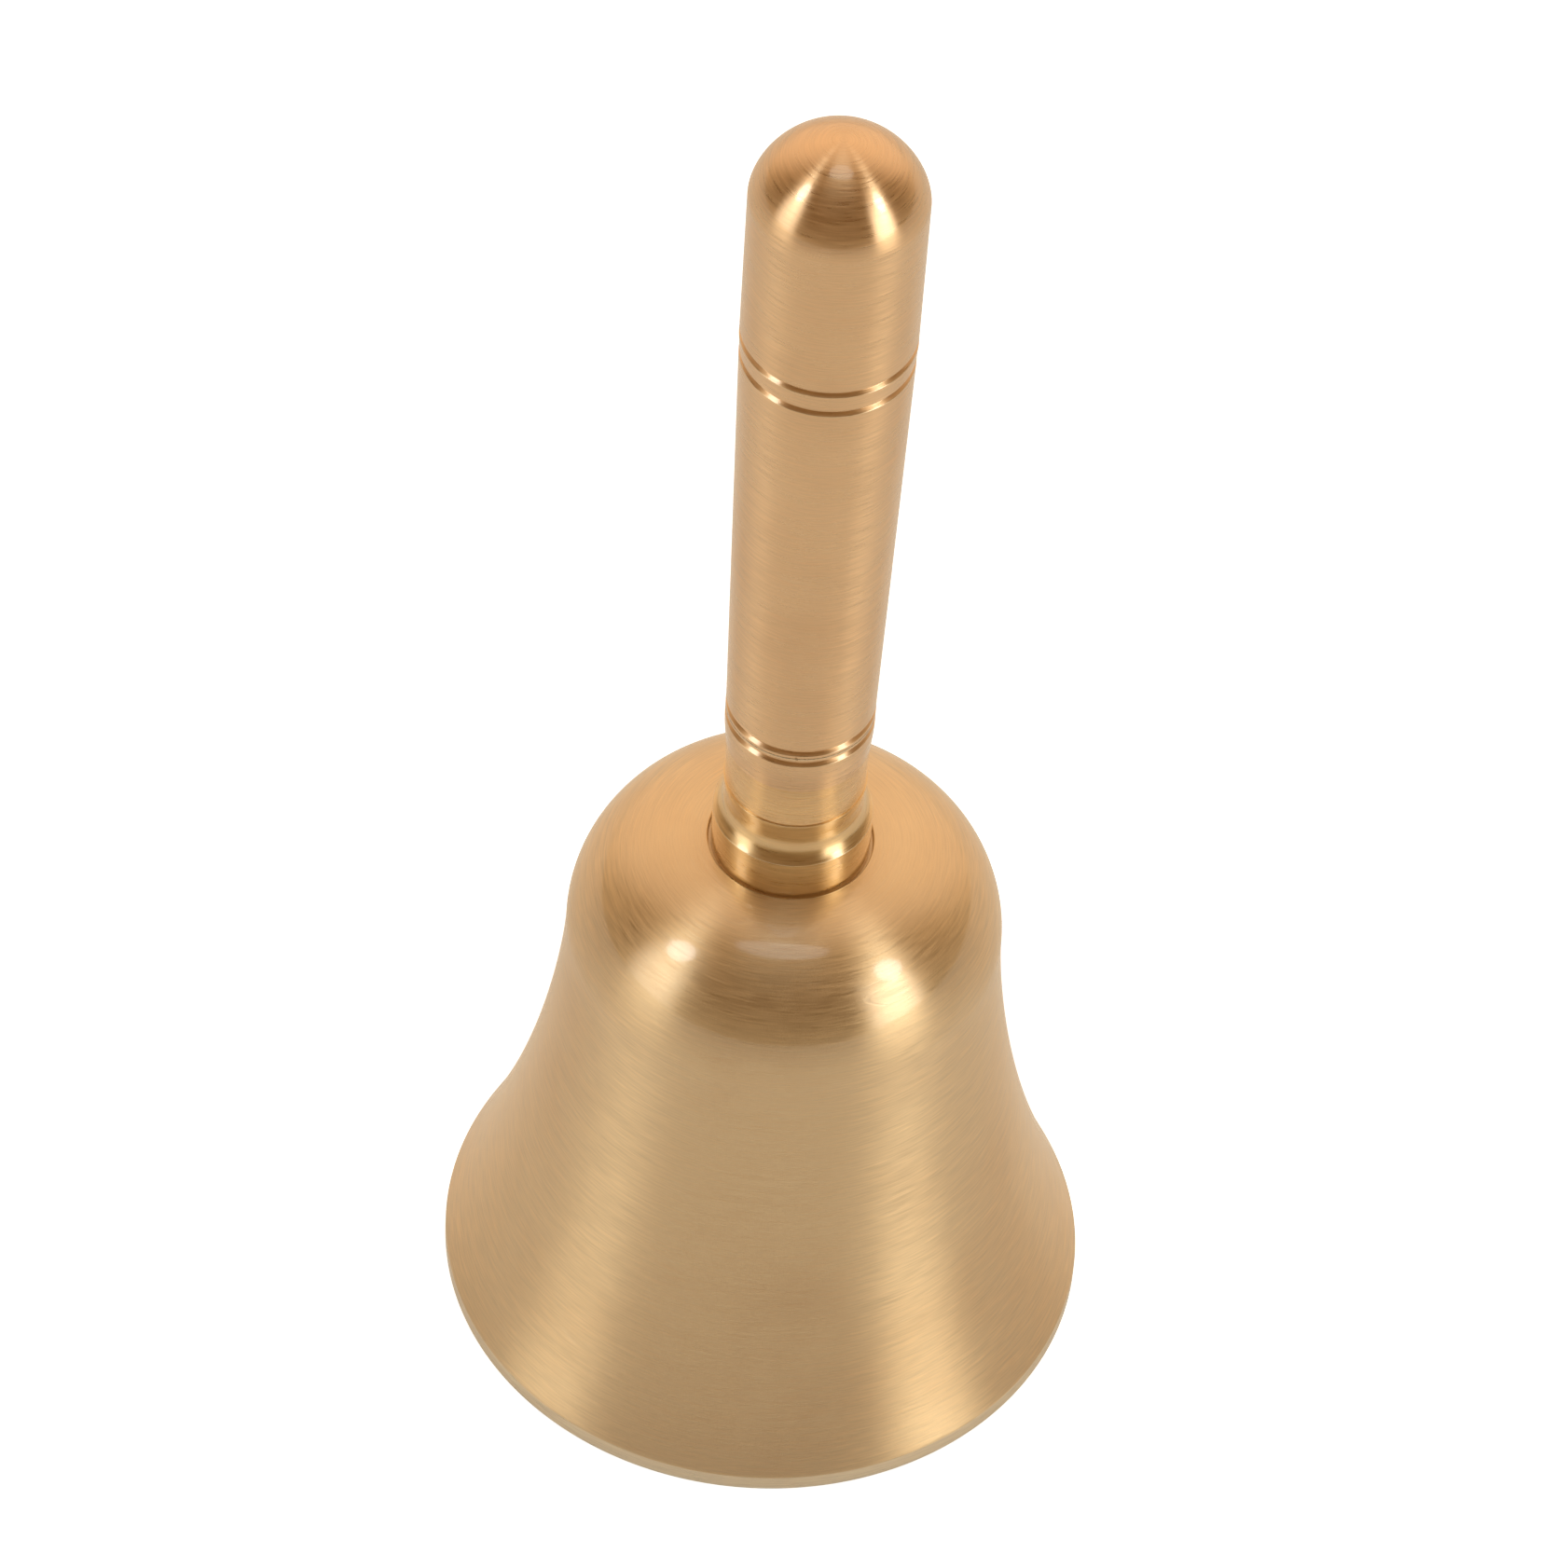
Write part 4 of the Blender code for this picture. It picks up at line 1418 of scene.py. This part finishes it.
@dataclass
class Studio:
    """Pale floor, soft light and the camera, which looks down on the bell through a long lens.

    Attributes:
        floor_half: Half the floor's width.
        floor_tone: The floor's colour as the metal sees it.
        floor_seen: Its colour as the camera sees it.
        floor_glow: How much light the floor adds in the camera's eyes.
        mirrored_glow: How much it adds in the metal.
        room_tilt: Height of the room's pale middle behind the bell.
        room_ramp: Between which shares of that direction the room goes from dim to pale.
        back_of_room: Colour of the pale part.
        front_of_room: Colour of the dim part, on the camera's side.
        room_seen: The room's colour as the camera sees it.
        glows: Azimuth in degrees and strength of the soft upright lights.
        glow_colour: Their colour.
        glow_half: Half their width.
        glow_ramp: Between which heights they fade out.
        camera_back: How far the camera stands from the axis.
        camera_height: How high it stands.
        pitch: How far it looks down.
        roll: How far its picture is turned.
        yaw: How far it looks to the side.
        lens: Its focal length in millimetres.
        boxes: The lights.
    """

    floor_half: float = 2.5
    floor_tone: Colour = (0.87, 0.94, 0.95)
    floor_seen: Colour = (0.9, 0.95, 1.0)
    floor_glow: float = 0.75
    mirrored_glow: float = 0.06
    room_tilt: float = 35.0 * DEGREE
    room_ramp: Point = (0.35, 0.71)
    back_of_room: Colour = (0.95, 0.68, 0.46)
    front_of_room: Colour = (0.18, 0.10, 0.04)
    room_seen: Colour = (0.95, 0.95, 0.95)
    glows: tuple[Point, ...] = ((-155.0, 1.7), (-30.0, 2.7))
    glow_colour: Colour = (1.0, 0.90, 0.76)
    glow_half: float = 18.0 * DEGREE
    glow_ramp: Point = (0.35, 0.75)
    camera_back: float = 474.30 * MM
    camera_height: float = 594.12 * MM
    pitch: float = 48.673 * DEGREE
    roll: float = 4.303 * DEGREE
    yaw: float = -0.097 * DEGREE
    lens: float = 219.51
    boxes: tuple[SoftBox, ...] = (
        SoftBox("key_left", -157.5, 41.0, 0.26, 0.38, 0.9, warmth=(0.94, 0.97, 1.0)),
        SoftBox("key_right", -22.0, 36.0, 0.26, 0.38, 0.85, warmth=(0.94, 0.97, 1.0)),
        SoftBox("overhead", -90.0, 80.0, 0.70, 0.30, 0.5, warmth=(0.92, 0.97, 1.0)),
    )

    def floor(self) -> Object:
        """A plain pale floor under the lip. The camera sees it white, and the metal mirrors it darker."""
        half = self.floor_half
        mesh = bpy.data.meshes.new("floor")
        corners = [(-half, -half, 0.0), (half, -half, 0.0), (half, half, 0.0), (-half, half, 0.0)]
        mesh.from_pydata(corners, [], [(0, 1, 2, 3)])
        material = bpy.data.materials.new("pale_floor")
        material.use_nodes = True
        tree = material.node_tree
        seen = add_node(tree, "LightPath").outputs["Is Camera Ray"]
        feed(tree, tree.nodes["Principled BSDF"], {
            "Roughness": 0.9, "Specular_IOR_Level": 0.0, "Emission_Color": (1.0, 1.0, 1.0, 1.0),
            "Base_Color": blend_colour(tree, seen, (*self.floor_tone, 1.0), (*self.floor_seen, 1.0)),
            "Emission_Strength": math_node(tree, "MULTIPLY_ADD", seen, self.floor_glow, self.mirrored_glow),
        })
        mesh.materials.append(material)
        obj = added("floor", mesh)
        return obj

    def room(self) -> World:
        """A soft room, pale behind the bell and dim on the camera's side. The camera sees it all pale."""
        world = bpy.data.worlds.new("room")
        world.use_nodes = True
        tree = world.node_tree
        seen = add_node(tree, "LightPath").outputs["Is Camera Ray"]
        direction = add_node(tree, "TexCoord").outputs["Generated"]
        towards = (0.0, math.cos(self.room_tilt), math.sin(self.room_tilt))
        share = remap(tree, vector_math(tree, "DOT_PRODUCT", direction, towards), *self.room_ramp)
        lit = blend_colour(tree, share, (*self.front_of_room, 1.0), (*self.back_of_room, 1.0))
        level = vector_math(tree, "MULTIPLY", direction, (1.0, 1.0, 0.0))
        heading = vector_math(tree, "NORMALIZE", level)
        height = add_node(tree, "SeparateXYZ", None, Vector=direction).outputs["Z"]
        low = minus(tree, 1.0, remap(tree, height, *self.glow_ramp))
        for azimuth, strength in self.glows:
            aim = (math.cos(azimuth * DEGREE), math.sin(azimuth * DEGREE), 0.0)
            near = vector_math(tree, "DOT_PRODUCT", heading, aim)
            pillar = times(tree, remap(tree, near, math.cos(self.glow_half), 1.0), low)
            extra = tuple(strength * part for part in self.glow_colour)
            lit = blend_colour(tree, pillar, lit, (*extra, 1.0))
        colour = blend_colour(tree, seen, lit, (*self.room_seen, 1.0))
        tree.links.new(colour, tree.nodes["Background"].inputs["Color"])
        bpy.context.scene.world = world
        return world

    def camera(self) -> Object:
        """The camera. Its line of sight drops by the pitch, and its picture is turned by the roll."""
        flat = math.cos(self.pitch)
        sight = Vector((math.sin(self.yaw) * flat, math.cos(self.yaw) * flat, -math.sin(self.pitch)))
        level = Vector((math.cos(self.yaw), -math.sin(self.yaw), 0.0))
        upright = level.cross(sight)
        right = math.cos(self.roll) * level + math.sin(self.roll) * upright
        up = math.cos(self.roll) * upright - math.sin(self.roll) * level
        place = Vector((0.0, -self.camera_back, self.camera_height))
        data = bpy.data.cameras.new("camera")
        data.lens = self.lens
        data.sensor_width = 36.0
        obj = added("camera", data)
        obj.matrix_world = Matrix((
            (right.x, up.x, -sight.x, place.x), (right.y, up.y, -sight.y, place.y),
            (right.z, up.z, -sight.z, place.z), (0.0, 0.0, 0.0, 1.0),
        ))
        bpy.context.scene.camera = obj
        return obj

    def build(self) -> None:
        """Sets the stage: camera, floor, room and lights, with plain colours in the picture."""
        self.camera()
        self.floor()
        self.room()
        low, high = CAD_BOX
        middle = 0.5 * (low + high)
        for box in self.boxes:
            box.build(middle)
        bpy.context.scene.view_settings.view_transform = "Standard"
        LOG.info("stage: floor, room, camera and %d lights", len(self.boxes))


def main() -> None:
    """Builds the stage, and then the bell from its sub-assemblies, outside in."""
    logging.basicConfig(level=logging.INFO, format="%(name)s: %(message)s")
    Studio().build()
    for part in (BellShell(), Collar(), Handle(), Suspension(), Yoke(), Clapper()):
        part.build()


if __name__ == "__main__":
    main()
